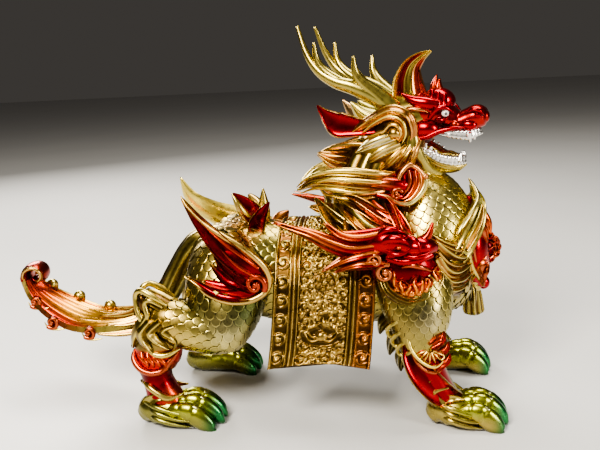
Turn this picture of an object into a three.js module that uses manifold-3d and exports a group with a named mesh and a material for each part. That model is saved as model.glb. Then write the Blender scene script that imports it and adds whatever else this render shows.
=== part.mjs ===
// A qilin, the horned and scaled beast of East Asian ornament, standing on four clawed feet.
// The figure is cast in one piece: body, head, antlers, mane, tail, saddle cloth, guards and tassel.
// Millimetres. +X runs from tail to chest, +Z is up, and the soles stand on Z = 0.
import * as THREE from "three";
import { mergeVertices } from "three/addons/utils/BufferGeometryUtils.js";
import Module from "manifold-3d";

const wasm = await Module();
wasm.setup();

// Driving dimensions
const FIGURE_HEIGHT = 196; // from the ground to the tips of the antlers
const HALF_STANCE = 34; // from the middle plane to the middle of each foot
const HIND_STAGGER = 8; // how far the left hind foot stands ahead of the right one
const HEAD_TURN = 17; // degrees that the head turns to the figure's right
const FOOT_LENGTH = 41; // a hind foot, from heel to claw
const FORE_FOOT_SHARE = 0.84; // a forefoot's length as a share of a hind foot's
const TOES = 3; // on each foot
const CLOTH_LENGTH = 50; // the saddle cloth, along the body
const CLOTH_THICKNESS = 2.6;
const CLOTH_DROP = 33; // height of the cloth's lower edge above the ground
const BORDER_WIDTH = 8; // the cloth's scroll border
const RIM_HEIGHT = 1.2; // how far the cloth's relief stands out
const SCROLL_ROWS = [0.38, 0.51, 0.64, 0.77, 0.9]; // places of the border's scrolls, down each flap
const TASSEL_LENGTH = 14;
const FACET_BUDGET = 10000; // triangles in the finished surface

// The pose and the free forms are written in units of a 196th of the figure's height.
const UNIT = FIGURE_HEIGHT / 196;
const RIGHT = -1;
const LEFT = 1;
const SIDES = [RIGHT, LEFT];
const SOLE_CUT = 40; // depth of the block that trims the soles flat
const FOOT_UNITS = 41; // the length that the form of a foot is written for

// Swept forms

// A uniform Catmull-Rom spline through rows of numbers, at t from 0 to rows.length - 1.
function splineAt(rows, t) {
  const last = rows.length - 1;
  const i = Math.min(Math.floor(t), last - 1);
  const f = t - i;
  const [p0, p1, p2, p3] = [-1, 0, 1, 2].map((k) => rows[Math.min(Math.max(i + k, 0), last)]);
  return p1.map((_, n) => {
    const slope1 = (p2[n] - p0[n]) / 2;
    const slope2 = (p3[n] - p1[n]) / 2;
    const rise = p2[n] - p1[n];
    const cubic = slope1 + slope2 - 2 * rise;
    const square = 3 * rise - 2 * slope1 - slope2;
    return p1[n] + f * (slope1 + f * (square + f * cubic));
  });
}

// Cross-sections as [across the thin way, along the wide way], from -1 to 1.
function roundSection(sides) {
  return Array.from({ length: sides }, (_, i) => {
    const angle = (2 * Math.PI * i) / sides;
    return [Math.cos(angle), Math.sin(angle)];
  });
}

// A blade is keen at both edges with a ridge down each face, and a trough is hollowed along one face.
const BLADE = [[1, 0], [0.45, 0.65], [-0.1, 1], [-1, 0], [-0.1, -1], [0.45, -0.65]];
const TROUGH = [[0.2, 0], [1, 0.8], [0, 1], [-1, 0.35], [-1, -0.35], [0, -1], [1, -0.8]];

// A geometry of millimetres from points in pose units, with its faces turned outwards.
function closedBody(points, faces) {
  let volume = 0;
  for (let i = 0; i < faces.length; i += 3) {
    const [a, b, c] = [points[faces[i]], points[faces[i + 1]], points[faces[i + 2]]];
    volume += a.dot(b.clone().cross(c));
  }
  if (volume < 0) {
    for (let i = 0; i < faces.length; i += 3) {
      [faces[i + 1], faces[i + 2]] = [faces[i + 2], faces[i + 1]];
    }
  }
  const geometry = new THREE.BufferGeometry();
  const numbers = points.flatMap((p) => [p.x * UNIT, p.y * UNIT, p.z * UNIT]);
  geometry.setAttribute("position", new THREE.Float32BufferAttribute(numbers, 3));
  geometry.setIndex(faces);
  return geometry;
}

// A closed body along stations [x, y, z, half thickness, half width], which may end in a point.
// thin is the direction that the thickness is measured in, and may turn to thinEnd along the way.
function sweep(stations, options = {}) {
  const { section = roundSection(6), steps = 1, thin = [0, 1, 0], thinEnd = thin, pointed = false } = options;
  const last = (stations.length - 1) * steps;
  const sides = section.length;
  const rows = Array.from({ length: last + 1 }, (_, r) => splineAt(stations, r / steps));
  const middles = rows.map(([x, y, z]) => new THREE.Vector3(x, y, z));
  const rings = pointed ? last : last + 1;
  const points = [];
  for (let r = 0; r < rings; r += 1) {
    const ahead = middles[Math.min(r + 1, last)];
    const along = ahead.clone().sub(middles[Math.max(r - 1, 0)]).normalize();
    const across = new THREE.Vector3(...thin).lerp(new THREE.Vector3(...thinEnd), r / last);
    across.addScaledVector(along, -across.dot(along)).normalize();
    const wide = along.clone().cross(across);
    const [halfThin, halfWide] = rows[r].slice(3);
    for (const [a, b] of section) {
      points.push(
        middles[r].clone().addScaledVector(across, a * halfThin).addScaledVector(wide, b * halfWide),
      );
    }
  }
  const faces = [];
  for (let r = 0; r < rings - 1; r += 1) {
    for (let i = 0; i < sides; i += 1) {
      const j = (i + 1) % sides;
      const [a, b, c, d] = [r * sides + i, r * sides + j, (r + 1) * sides + j, (r + 1) * sides + i];
      faces.push(a, b, c, a, c, d);
    }
  }
  const tail = points.push(middles[0].clone()) - 1;
  const tip = points.push(middles[last].clone()) - 1;
  const lastRing = (rings - 1) * sides;
  for (let i = 0; i < sides; i += 1) {
    const j = (i + 1) % sides;
    faces.push(tail, j, i);
    faces.push(tip, lastRing + i, lastRing + j);
  }
  return closedBody(points, faces);
}

// A bud, boss or bulge with its half axes along X, Y and Z.
function bud([x, y, z], [rx, ry, rz], detail = 0) {
  const geometry = new THREE.IcosahedronGeometry(1, detail);
  geometry.rotateX(0.3);
  geometry.scale(rx * UNIT, ry * UNIT, rz * UNIT);
  geometry.translate(x * UNIT, y * UNIT, z * UNIT);
  geometry.deleteAttribute("normal");
  geometry.deleteAttribute("uv");
  return mergeVertices(geometry, 1e-3);
}

// A small knob or boss, facing along X, Y and Z with a corner on each.
function knob([x, y, z], [rx, ry, rz]) {
  const geometry = new THREE.OctahedronGeometry(1);
  geometry.scale(rx * UNIT, ry * UNIT, rz * UNIT);
  geometry.translate(x * UNIT, y * UNIT, z * UNIT);
  geometry.deleteAttribute("normal");
  geometry.deleteAttribute("uv");
  return mergeVertices(geometry, 1e-3);
}

// A flame lock: a blade that is widest a third of the way and ends in a point.
function lock(path, halfWidth, halfThickness, options = {}) {
  const swell = [[0.8], [1], [0.72], [0.1]];
  const stations = path.map((point, i) => {
    const [share] = splineAt(swell, (i / (path.length - 1)) * (swell.length - 1));
    return [...point, halfThickness * Math.sqrt(share), halfWidth * share];
  });
  return sweep(stations, { section: BLADE, pointed: true, ...options });
}

// A tapering bar: points [x, y, z] with its radius running from thick to fine.
function spike(path, thick, fine, sides = 5) {
  const stations = path.map((point, i) => {
    const radius = thick + (fine - thick) * (i / (path.length - 1)) ** 1.3;
    return [...point, radius, radius];
  });
  return sweep(stations, { section: roundSection(sides), pointed: true });
}

// A bar wound into a scroll that faces along Y and rises towards its middle.
function scroll([x, y, z], radius, bar, side, { turns = 0.85, start = 0, steps = 7 } = {}) {
  const stations = [];
  for (let i = 0; i <= steps; i += 1) {
    const f = i / steps;
    const angle = start + f * turns * 2 * Math.PI;
    const reach = radius * (1 - 0.5 * f);
    const thick = bar * (1 - 0.25 * f);
    const at = [x + reach * Math.cos(angle), y + side * bar * 0.8 * f, z + reach * Math.sin(angle)];
    stations.push([...at, thick, thick]);
  }
  return sweep(stations, { section: roundSection(6) });
}

// Body and neck

function body() {
  const torso = sweep(
    [
      [-30, 0, 86, 5, 6], [-24, 0, 83, 15, 14], [-8, 0, 77, 23, 23], [15, 0, 71, 24, 26],
      [45, 0, 69, 24, 26], [75, 0, 72, 26, 28], [97, 0, 78, 27, 30], [111, 0, 81, 20, 25],
      [118, 0, 81, 10, 15],
    ],
    { section: roundSection(14) },
  );
  const neck = sweep(
    [
      [94, 0, 74, 25, 25], [94, 0, 90, 24, 25], [91, 0.5, 104, 20, 21], [86, 1.5, 117, 15, 14.5],
      [84, 2, 129, 12, 11], [84, 1, 141, 9, 9],
    ],
    { section: roundSection(12) },
  );
  return [torso, neck];
}

// Legs and feet

// A clawed foot whose ankle is at x. share is its length over a hind foot's.
function foot(x, side, share) {
  const stance = HALF_STANCE / UNIT;
  const long = (FOOT_LENGTH / UNIT / FOOT_UNITS) * share;
  const place = (forward, outward, up) => [x + forward * long, side * (stance + outward), up];
  const sole = sweep(
    [
      [...place(-13, 0, 4.5), 5.5, 5], [...place(-9, 0, 7), 8.5, 8], [...place(0, 0, 8), 10, 9],
      [...place(9, 0, 7), 11, 7], [...place(15, 0, 5), 9, 5],
    ],
    { section: roundSection(10) },
  );
  const toes = [];
  for (let toe = 0; toe < TOES; toe += 1) {
    const spread = (2 * toe) / (TOES - 1) - 1;
    const lead = 2.5 * (1 - Math.abs(spread));
    const joint = (forward, up, half, tall) => [
      ...place(forward + lead, spread * (7 + forward * 0.17), up), half, tall,
    ];
    toes.push(
      sweep(
        [
          joint(3, 8, 3.6, 4), joint(10, 10.8, 4.6, 4.2), joint(15, 11, 4.9, 4.8), joint(20, 8.6, 4.8, 5),
          joint(24, 4.4, 3.8, 4.2), joint(26.5, -0.5, 1.4, 1.8),
        ],
        { section: roundSection(8), pointed: true },
      ),
    );
  }
  return [sole, ...toes];
}

function hindLeg(side) {
  const ahead = side === LEFT ? HIND_STAGGER / UNIT : 0;
  const stance = (HALF_STANCE / UNIT) * side;
  const thigh = sweep(
    [
      [-8, side * 12, 91, 8, 9], [-9, side * 22, 84, 12, 17], [-8, side * 29, 71, 13, 20.5],
      [-8, stance * 0.94, 58, 13.5, 17], [-8, stance, 48, 12, 11.5], [-8, stance, 42, 7, 6.5],
    ],
    { section: roundSection(12) },
  );
  const shank = sweep(
    [
      [-3, stance, 46, 8, 7], [-12, stance, 48.5, 12, 10.5], [-26 + ahead / 2, stance, 52, 11.5, 12],
      [-41 + ahead, stance, 55, 10, 11.5], [-50 + ahead, stance, 57, 6, 7],
    ],
    { section: roundSection(10) },
  );
  const cannon = sweep(
    [
      [-44 + ahead, stance, 55, 8, 9], [-46.5 + ahead, stance, 41, 9, 10.5],
      [-47 + ahead, stance, 28, 7.5, 8], [-44.5 + ahead, stance, 17, 7.5, 8.4],
      [-41 + ahead, stance, 9, 8, 9.5],
    ],
    { section: roundSection(10) },
  );
  const tufts = [
    lock([[-36, 0, 58], [-46, 0, 60], [-52, 0, 65], [-56, 0, 71]], 7, 7),
    lock([[-42, 0, 49], [-49, 0, 51], [-53, 0, 55], [-56.5, 0, 61]], 5.5, 6),
    lock([[-42, 0, 41], [-50, 0, 39], [-55, 0, 40], [-59.5, 0, 44]], 4.4, 6.5),
    lock([[-44, 0, 20], [-50, 0, 19], [-56, 0, 23]], 3, 4),
  ];
  for (const tuft of tufts) {
    tuft.translate(ahead * UNIT, stance * UNIT, 0);
  }
  return [thigh, shank, cannon, ...tufts, ...foot(-42 + ahead, side, 1)];
}

function foreLeg(side) {
  const stance = (HALF_STANCE / UNIT) * side;
  const plate = { thin: [0.3, side, 0] };
  const leg = sweep(
    [
      [83, side * 22, 82, 12, 15], [85, side * 29, 70, 13, 18], [86.5, stance * 0.97, 56, 12.5, 15.5],
      [86.5, stance, 44, 10.3, 11], [89, stance, 33, 8.8, 9], [93.5, stance, 23, 7.8, 8],
      [98.5, stance, 13, 7.6, 8], [103, stance, 6, 8, 9],
    ],
    { section: roundSection(12) },
  );
  const greave = [
    lock([[101, 5 * side, 12], [96, 8 * side, 24], [91, 8 * side, 33], [88, 7 * side, 40]], 5, 4, plate),
    lock([[102, 2 * side, 15], [98, 3 * side, 26], [95.5, 4 * side, 36], [97, 3 * side, 46]], 5, 4, plate),
    lock([[96, 5 * side, 15], [87, 8 * side, 24], [80, 8 * side, 34], [79, 6 * side, 46]], 5, 4, plate),
  ];
  const fringe = [
    lock([[84, 2, 55], [75, 2, 55], [70, 2, 52], [67.5, 2, 46]], 5, 5),
    lock([[84, 2, 47], [77, 2, 45], [74, 2, 41], [72, 2, 35]], 5, 5.5),
    lock([[86, 2, 38], [80, 2, 36], [78, 2, 32], [76.5, 2, 26]], 4.6, 5.5),
    lock([[90, 2, 29], [84, 2, 27], [82.5, 2, 23], [82, 2, 17]], 4.4, 5.5),
    lock([[95, 2, 19], [90, 2, 17], [88.5, 2, 13], [88, 2, 8]], 3.6, 5),
  ];
  for (const piece of [...greave, ...fringe]) {
    piece.translate(0, stance * UNIT, 0);
  }
  return [leg, ...greave, ...fringe, ...foot(104, side, FORE_FOOT_SHARE)];
}

// Tail: a stem that drops from the rump, and a broad plume with curled edges

const PLUME = [
  [-58, 0, 45, 8, 8], [-70, 0, 42, 6, 12.5], [-84, 1, 41, 5.4, 17.5], [-98, 2, 43, 5, 19.5],
  [-112, 2.5, 50, 4.6, 17.5], [-124, 3, 59, 4.2, 12], [-130, 3, 69, 3.6, 7],
];
const RIBBED = [
  [0.4, 0], [1, 0.4], [0.4, 0.7], [0.5, 1], [-0.7, 0.5], [-0.7, -0.5], [0.5, -1], [0.4, -0.7], [1, -0.4],
];
const CURL = { x: -122.5, y: 3, z: 70, radius: 6, bar: 2.6, width: 8 };

function tail() {
  const stem = sweep(
    [
      [-14, 0, 86, 7, 8], [-25, 0, 88, 6.5, 7.5], [-33, 0, 82, 6.2, 7], [-41, 0, 70, 6, 7],
      [-49, 0, 58, 6, 7], [-62, 0, 46, 8, 8],
    ],
    { section: roundSection(8) },
  );
  const plume = sweep(PLUME, { section: RIBBED, thin: [0, 0, 1], thinEnd: [1, 0, 0.5] });
  const curl = [];
  const curlSteps = 9;
  for (let i = 0; i <= curlSteps; i += 1) {
    const f = i / curlSteps;
    const angle = Math.PI * (1.1 - 1.75 * f);
    const reach = CURL.radius * (1 - 0.6 * f);
    const at = [CURL.x + reach * Math.cos(angle), CURL.y, CURL.z + reach * Math.sin(angle)];
    curl.push([...at, CURL.width * (1 - 0.45 * f), CURL.bar * (1 - 0.3 * f)]);
  }
  const parts = [stem, plume, sweep(curl, { section: roundSection(7) })];
  for (const side of SIDES) {
    for (const [along, size] of [[2.25, 4.4], [3.75, 4.6], [4.75, 4.4]]) {
      const [x, y, z, , halfWidth] = splineAt(PLUME, along);
      parts.push(bud([x, y + side * (halfWidth + 0.5), z + 2], [size, size * 0.9, size]));
    }
  }
  return parts;
}

// Saddle cloth

// The cloth's line over the back, as [y, z] at share 0 on the ridge and 1 at the lower edge.
function clothLine(share) {
  const line = [
    [0, 98], [15, 95.5], [27, 87], [33.5, 74], [36.5, 60], [39, 46], [43.5, CLOTH_DROP / UNIT],
  ];
  return splineAt(line, share * (line.length - 1));
}

// A point on the cloth: along runs from 0 at its rear edge to 1 at its front one, and across from
// -1 at the right flap's lower edge to 1 at the left one's. lift is measured off the cloth's face.
function clothPoint(along, across, lift) {
  const share = Math.abs(across);
  const side = Math.sign(across) || 1;
  const [y, z] = clothLine(share);
  const [yNext, zNext] = clothLine(Math.min(share + 0.01, 1));
  const [yBack, zBack] = clothLine(Math.max(share - 0.01, 0));
  const normal = new THREE.Vector2(zBack - zNext, yNext - yBack).normalize();
  const flare = 1.8 * share * share * (2 * along - 1) ** 2;
  const rear = 18 - 5.5 * share * share;
  const arch = 2.2 * share ** 8 * (1 - (2 * along - 1) ** 2);
  const x = rear + (along * CLOTH_LENGTH) / UNIT;
  return new THREE.Vector3(x, side * (y + normal.x * lift + flare), z + normal.y * lift + arch);
}

function saddleCloth() {
  const border = BORDER_WIDTH / CLOTH_LENGTH;
  const rim = 0.035;
  const relief = RIM_HEIGHT / UNIT;
  // Each column is [place along the cloth, height of the relief there].
  const columns = [
    [0, relief], [rim, relief], [rim * 1.5, 0], [border, 0], [border + 0.05, relief], [border + 0.12, 0],
    [0.88 - border, 0], [0.95 - border, relief], [1 - border, 0], [1 - rim * 1.5, 0], [1 - rim, relief],
    [1, relief],
  ];
  const thickness = CLOTH_THICKNESS / UNIT;
  const shares = [0, 0.13, 0.26, ...SCROLL_ROWS, 1];
  const acrosses = [...shares.slice(1).reverse().map((share) => -share), ...shares];
  const points = [];
  for (const across of acrosses) {
    for (const [along, height] of columns) points.push(clothPoint(along, across, height));
    for (const along of [1, 0]) points.push(clothPoint(along, across, -thickness));
  }
  const ring = columns.length + 2;
  const rows = acrosses.length;
  const faces = [];
  for (let r = 0; r < rows - 1; r += 1) {
    for (let i = 0; i < ring; i += 1) {
      const j = (i + 1) % ring;
      const [a, b, c, d] = [r * ring + i, r * ring + j, (r + 1) * ring + j, (r + 1) * ring + i];
      faces.push(a, b, c, a, c, d);
    }
  }
  const underside = columns.length;
  for (const [row, turn] of [[0, false], [(rows - 1) * ring, true]]) {
    for (let i = 0; i < ring - 2; i += 1) {
      const [b, c] = [(underside + 1 + i) % ring, (underside + 2 + i) % ring].map((n) => row + n);
      faces.push(row + underside, turn ? b : c, turn ? c : b);
    }
  }
  const parts = [closedBody(points, faces)];
  for (const side of SIDES) {
    for (const share of SCROLL_ROWS) {
      for (const along of [border * 0.62, 1 - border * 0.62]) {
        const centre = clothPoint(along, side * share, 0).toArray();
        parts.push(knob(centre, [2.6, relief * 1.4, 3]));
      }
    }
    // A blossom over a pair of spread wings
    const blossom = clothPoint(0.5, side * 0.6, 0).toArray();
    parts.push(bud(blossom, [8, relief * 1.6, 8.5]));
    for (const wing of [-1, 1]) {
      const root = clothPoint(0.5 + wing * 0.01, side * 0.88, relief * 0.2).toArray();
      const bend = clothPoint(0.5 + wing * 0.11, side * 0.86, relief * 0.4).toArray();
      const tip = clothPoint(0.5 + wing * 0.2, side * 0.78, 0).toArray();
      parts.push(lock([root, bend, tip], 3, 1.8, { thin: [0, side, 0] }));
    }
  }
  return parts;
}

// Flames on the hips and along the back

function hipFlame(side) {
  // The left horn of the flame lies lower and reaches further back.
  const back = side === LEFT ? 21 : 0;
  const sink = side === LEFT ? 2 : 0;
  const horn = sweep(
    [
      [11, side * 37, 71, 4, 6], [8, side * 41, 80, 4, 9],
      [-3 - back * 0.3, side * 42, 90 - sink, 3.6, 8.5],
      [-11 - back * 0.8, side * 41, 99 - sink * 2, 3, 7.5],
      [-18 - back * 1.05, side * 39.5, 108 - sink * 2, 2.2, 6],
      [-25 - back, side * 38, 119 - sink, 0.5, 0.5],
    ],
    { section: TROUGH, thinEnd: [0.7, 0.35 * side, 0.6], pointed: true },
  );
  const prongs = [
    [[[4, 38, 84], [-5, 41, 88], [-11, 41, 93], [-15, 40, 101]], 5, 4],
    [[[8, 38, 77], [-2, 42, 80], [-10, 42, 82], [-18, 41, 87]], 4, 4],
    [[[9, 37, 69], [-4, 42, 69], [-15, 41.5, 72.5], [-26, 40, 80]], 6, 5],
  ].map(([path, halfWidth, halfThickness]) =>
    lock(path.map(([x, y, z]) => [x, side * y, z]), halfWidth, halfThickness, { thin: [0, side, 0] }),
  );
  return [
    horn,
    ...prongs,
    scroll([7, side * 41.5, 76], 6, 2.2, side, { start: -0.4 }),
    bud([7, side * 40, 76], [6, 4, 6]),
  ];
}

function backFlames() {
  return [
    [[[6, 0, 92], [3, -3, 101], [-1, -5, 108], [-7, -6, 115]], 7, [0.4, 1, 0.3]],
    [[[6, 0, 90], [9, -7, 98], [12, -10, 105], [14, -11, 112]], 6, [0, 1, 0]],
    [[[8, 0, 94], [9, 0, 106], [11, 0, 117]], 3.5, [0, 1, 0]],
    [[[6, 0, 92], [4, 4, 100], [2, 7, 106], [-1, 9, 111]], 5.5, [0.4, -1, 0.3]],
    [[[12, 4, 92], [16, 9, 98], [20, 11, 105]], 4.5, [0, 1, 0]],
  ].map(([path, halfWidth, thin]) => lock(path, halfWidth, 2.8, { thin }));
}

// A beast's head on each shoulder, with its flames streaming back

function shoulderGuard(side) {
  const out = (depth) => side * (38 + depth);
  const at = (x, depth, z, thick, tall) => [x, out(depth), z, thick, tall];
  const parts = [
    // The cheek, the toothed jaw round it, and the snout above the open mouth
    sweep(
      [at(67, -6, 80, 5, 6), at(75, -4.5, 80, 8, 13), at(86, -4.5, 81, 8, 14), at(96, -8, 80, 5, 7)],
      { section: roundSection(8) },
    ),
    sweep(
      [
        at(69.5, 0, 83, 2, 2.4), at(71, 2.5, 74, 3, 3.2), at(76, 4, 69, 3, 3.4), at(83, 4.4, 66.5, 3, 3.4),
        at(91, 2.5, 68, 3, 3), at(96.5, -1, 73.5, 2.4, 2.6), at(98, -4, 79, 1.6, 1.8),
      ],
      { section: roundSection(6) },
    ),
    sweep(
      [
        at(64, -1, 92, 5, 5), at(71, 2, 94, 7, 6.6), at(78, 3.4, 94, 7, 6.6), at(84, 3.6, 91, 6.6, 5.4),
        at(90, 3.4, 90.5, 5.6, 5), at(94, 2, 89.5, 2.6, 2.8),
      ],
      { section: roundSection(8) },
    ),
    sweep(
      [at(92, 3, 86, 1.8, 2), at(86, 5.4, 84.5, 2.4, 2.4), at(78, 5, 82.5, 2.2, 2.4), at(72, 3, 84, 1.8, 2)],
      { section: roundSection(5) },
    ),
    bud([73.5, out(4), 98], [5, 4.4, 4.2]),
    bud([81, out(5.5), 96.5], [4.4, 3.8, 4]),
    spike([[88, out(3), 92], [92.5, out(3.5), 96], [95, out(3), 102.5]], 3, 0.6, 5),
    scroll([71, out(3.5), 79], 4, 1.5, side, { start: 1.2, steps: 6 }),
  ];
  const teeth = 4;
  for (let tooth = 0; tooth < teeth; tooth += 1) {
    const x = 77 + tooth * 4.4;
    parts.push(spike([[x, out(3.5), 69.5], [x + 0.5, out(4.5), 77.5]], 2.4, 0.5, 4));
  }
  const flames = [
    [[[72, 1, 99], [60, 3, 97], [51, 3, 98.5], [43, 1, 104.5]], 3.8],
    [[[70, 2, 93], [56, 4, 92], [46, 4, 95], [35, 3.5, 100], [18, 0, 105]], 4.8],
    [[[70, 2, 90], [59, 4, 88.5], [51, 4, 86], [41, 3, 81]], 3.4],
    [[[70, 2, 84], [61, 4, 84.5], [55, 4, 83.5], [47, 3, 80.5]], 3],
  ];
  for (const [path, halfWidth] of flames) {
    const points = path.map(([x, depth, z]) => [x, out(depth), z]);
    parts.push(lock(points, halfWidth, 4, { thin: [0, side, 0] }));
  }
  return parts;
}

// Mane

// Each side lock as a path of [x, distance from the middle plane, z], with its half width.
const MANE_LOCKS = [
  [[[72, 17, 118], [58, 19, 120], [45, 17, 121], [36, 14, 120], [28, 11, 115.5]], 6.5],
  [[[80, 25, 99], [68, 26, 104], [57, 23, 111], [46, 19, 113.5]], 4.6],
  [[[76, 27, 93], [66, 27, 97], [57, 24, 104], [48, 20, 110]], 5],
  [[[68, 24, 90], [56, 23, 94], [46, 19, 102], [37, 14, 112]], 5.4],
  [[[62, 20, 90], [53, 18, 93], [45, 14, 99], [40, 9, 106]], 4.6],
  [[[90, 32, 92], [87, 29, 100], [80, 25, 107], [73, 21, 111]], 4.8],
];

function mane() {
  const core = sweep(
    [
      [80, 2, 142, 9, 10], [70, 3, 132, 13, 13], [63, 2, 120, 16, 15], [60, 0, 107, 20, 16],
      [61, 0, 95, 19, 13], [64, 0, 84, 12, 9],
    ],
    { section: roundSection(10) },
  );
  const parts = [core];
  for (const side of SIDES) {
    for (const [path, halfWidth] of MANE_LOCKS) {
      const points = path.map(([x, y, z]) => [x, side * y, z]);
      parts.push(lock(points, halfWidth, 6, { thin: [0, side, 0.2] }));
    }
    parts.push(
      sweep(
        [
          [74, side * 20, 112, 2.6, 2.6], [82.5, side * 22, 109.5, 3.2, 3.2],
          [89.5, side * 20, 114.5, 3.2, 3.2], [91, side * 18, 121, 3.2, 3.2],
          [85, side * 16.5, 127, 3.2, 3.2], [78.5, side * 17.5, 123, 2.6, 2.6],
        ],
        { section: roundSection(6) },
      ),
    );
  }
  const crestLocks = 3;
  for (let n = 0; n < crestLocks; n += 1) {
    const x = 60 - n * 3;
    const z = 130 - n * 13;
    const path = [[x + 4, 1, z - 6], [x - 6, 1, z - 3], [x - 14, 0, z - 1], [x - 22, 0, z + 3 - n]];
    parts.push(lock(path, 7 - n, 7));
  }
  return parts;
}

// Breastplate, collar, ribbons and tassel

// Three folds of cloth, one over the other
const PLEATED = [[1, 0.8], [0, 0.5], [1, 0.1], [0, -0.25], [1, -0.6], [-1, -1], [-1, 1]];

function breast() {
  const parts = [
    sweep(
      [
        [112, 0, 105, 3, 3], [114.5, 0, 98, 6, 9], [115, 0, 88, 9, 15], [115, 0, 78, 10, 17],
        [116, 0, 69, 8, 12], [120, 0, 61, 2.6, 4],
      ],
      { section: roundSection(10), thin: [1, 0, 0] },
    ),
    bud([124, 0, 81], [6.5, 8, 8.5], 1),
    bud([121.5, 0, 62], [3.4, 3.2, 3.6]),
    bud([115, 0, 61], [6, 6, 4.5]),
    sweep(
      [
        [90, -32, 79, 4, 10], [98, -31, 76, 4, 12], [106, -28, 74, 4, 13], [113, -20, 73, 4, 13.5],
        [117, 0, 71, 4, 13], [113, 20, 73, 4, 13.5], [106, 28, 74, 4, 13], [98, 31, 76, 4, 12],
        [90, 32, 79, 4, 10],
      ],
      { section: PLEATED, thin: [1, 0, -0.1] },
    ),
  ];
  for (const side of SIDES) {
    parts.push(
      sweep(
        [
          [103, side * 26, 80, 3, 5], [109, side * 22, 89, 3.4, 6], [115, side * 14, 98, 3.4, 6],
          [118, side * 5, 105, 2.6, 4], [115, side * 2, 114, 0.5, 0.5],
        ],
        { section: TROUGH, thin: [1, 0.9 * side, 0], pointed: true },
      ),
    );
  }
  const top = 61;
  const long = TASSEL_LENGTH / UNIT;
  parts.push(
    sweep(
      [
        [115.5, 0, top, 3.4, 3.4], [116, 0, top - long * 0.35, 4.6, 4.8],
        [116.5, 0, top - long, 5.4, 5.8],
      ],
      { section: roundSection(10) },
    ),
  );
  return parts;
}

// Head, in a frame of its own: x forward along the muzzle, z up, the origin in the skull

const HEAD_PLACE = [92.8, 0, 147.2];

function antler(side) {
  const beam = [
    [-8, 6, 2], [-22, 9.5, 12.5], [-34, 12, 18.5], [-43, 13, 22], [-51, 14, 26.5], [-58, 14.5, 34],
    [-64.5, 14, 49],
  ];
  const inner = [[-38, 12, 20], [-46, 10.5, 26], [-51, 10, 31], [-55, 9.5, 40.5]];
  const lower = [[-15, 8.5, 8], [-26, 8, 17.5], [-32, 7.5, 25], [-35.3, 7, 34]];
  return [[beam, 5, 1.6, 7], [inner, 3.2, 1.6, 6], [lower, 4.4, 1.8, 6]].map(([path, thick, fine, sides]) =>
    spike(path.map(([x, y, z]) => [x, side * y, z]), thick, fine, sides),
  );
}

function ear(side) {
  return [
    sweep(
      [
        [-20, side * 13, -2, 3, 5], [-31, side * 15.5, -1.5, 3, 6.4], [-41, side * 17, 1, 2.4, 6],
        [-50.5, side * 18.5, 10, 0.5, 0.5],
      ],
      { section: TROUGH, thin: [0, side, 0], pointed: true },
    ),
    sweep(
      [
        [-31, side * 15, -3, 1.6, 1.8], [-21, side * 16, 3.5, 2.8, 3], [-11, side * 16, 6.5, 3.2, 3.4],
        [-4, side * 15, 2, 3.2, 3.4], [-3, side * 13, -9, 2, 2.2],
      ],
      { section: roundSection(7) },
    ),
    scroll([-10.5, side * 14.5, -4], 6.6, 2.3, side, { start: 2.9 }),
    bud([-11, side * 12.5, -4], [7.5, 4, 7]),
  ];
}

function beard(side) {
  const locks = [
    [[[-12, 13, -7], [-19, 16, -9], [-26, 17, -12], [-33, 17, -15.5]], 4.8],
    [[[-10, 12, -11], [-17, 15.5, -14], [-24, 16.5, -18], [-31, 16.5, -22]], 4.8],
    [[[-5, 11, -12], [-10, 14, -18], [-15, 15, -22], [-20, 15, -27]], 4.2],
    [[[-1, 10, -9], [-3, 13, -15], [-6, 13.5, -20], [-10, 13.5, -25]], 3.8],
    [[[-16, 5, -4], [-24, 6, 0], [-31, 6, 4], [-37, 6, 10.5]], 5.8],
    [[[-18, 8, -12], [-30, 11, -15], [-43, 11, -17], [-55, 9, -16]], 7],
  ];
  return locks.map(([path, halfWidth]) =>
    lock(path.map(([x, y, z]) => [x, side * y, z]), halfWidth, 4.4, { thin: [0, side, 0.2] }),
  );
}

// Half of each row of teeth, from the corner of the mouth to the front, as [x, y, z, half height].
const UPPER_TEETH = [
  [4, 8, -7, 2.4], [9, 7.6, -6, 4], [13, 7, -4.6, 2.4], [16.5, 6.4, -5, 3.8], [22, 5.2, -5, 5.6],
  [27, 3, -3.6, 2.6],
];
const LOWER_TEETH = [
  [0, 8, -15, 2], [4.5, 7.4, -17.8, 3.2], [8, 6.8, -20.4, 2], [11.5, 6, -21, 3.2], [15.5, 4.4, -21, 4],
  [17.5, 2.4, -22, 2.2],
];

// A row of teeth right round a jaw: its edge rises and falls with each tooth.
function teethRow(half) {
  const stations = [RIGHT, LEFT].flatMap((side) => {
    const row = half.map(([x, y, z, tall]) => [x, side * y, z, 1.8, tall]);
    return side === RIGHT ? row : row.reverse();
  });
  return sweep(stations, { section: BLADE, thin: [0.5, -1, 0], thinEnd: [0.5, 1, 0] });
}

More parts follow.
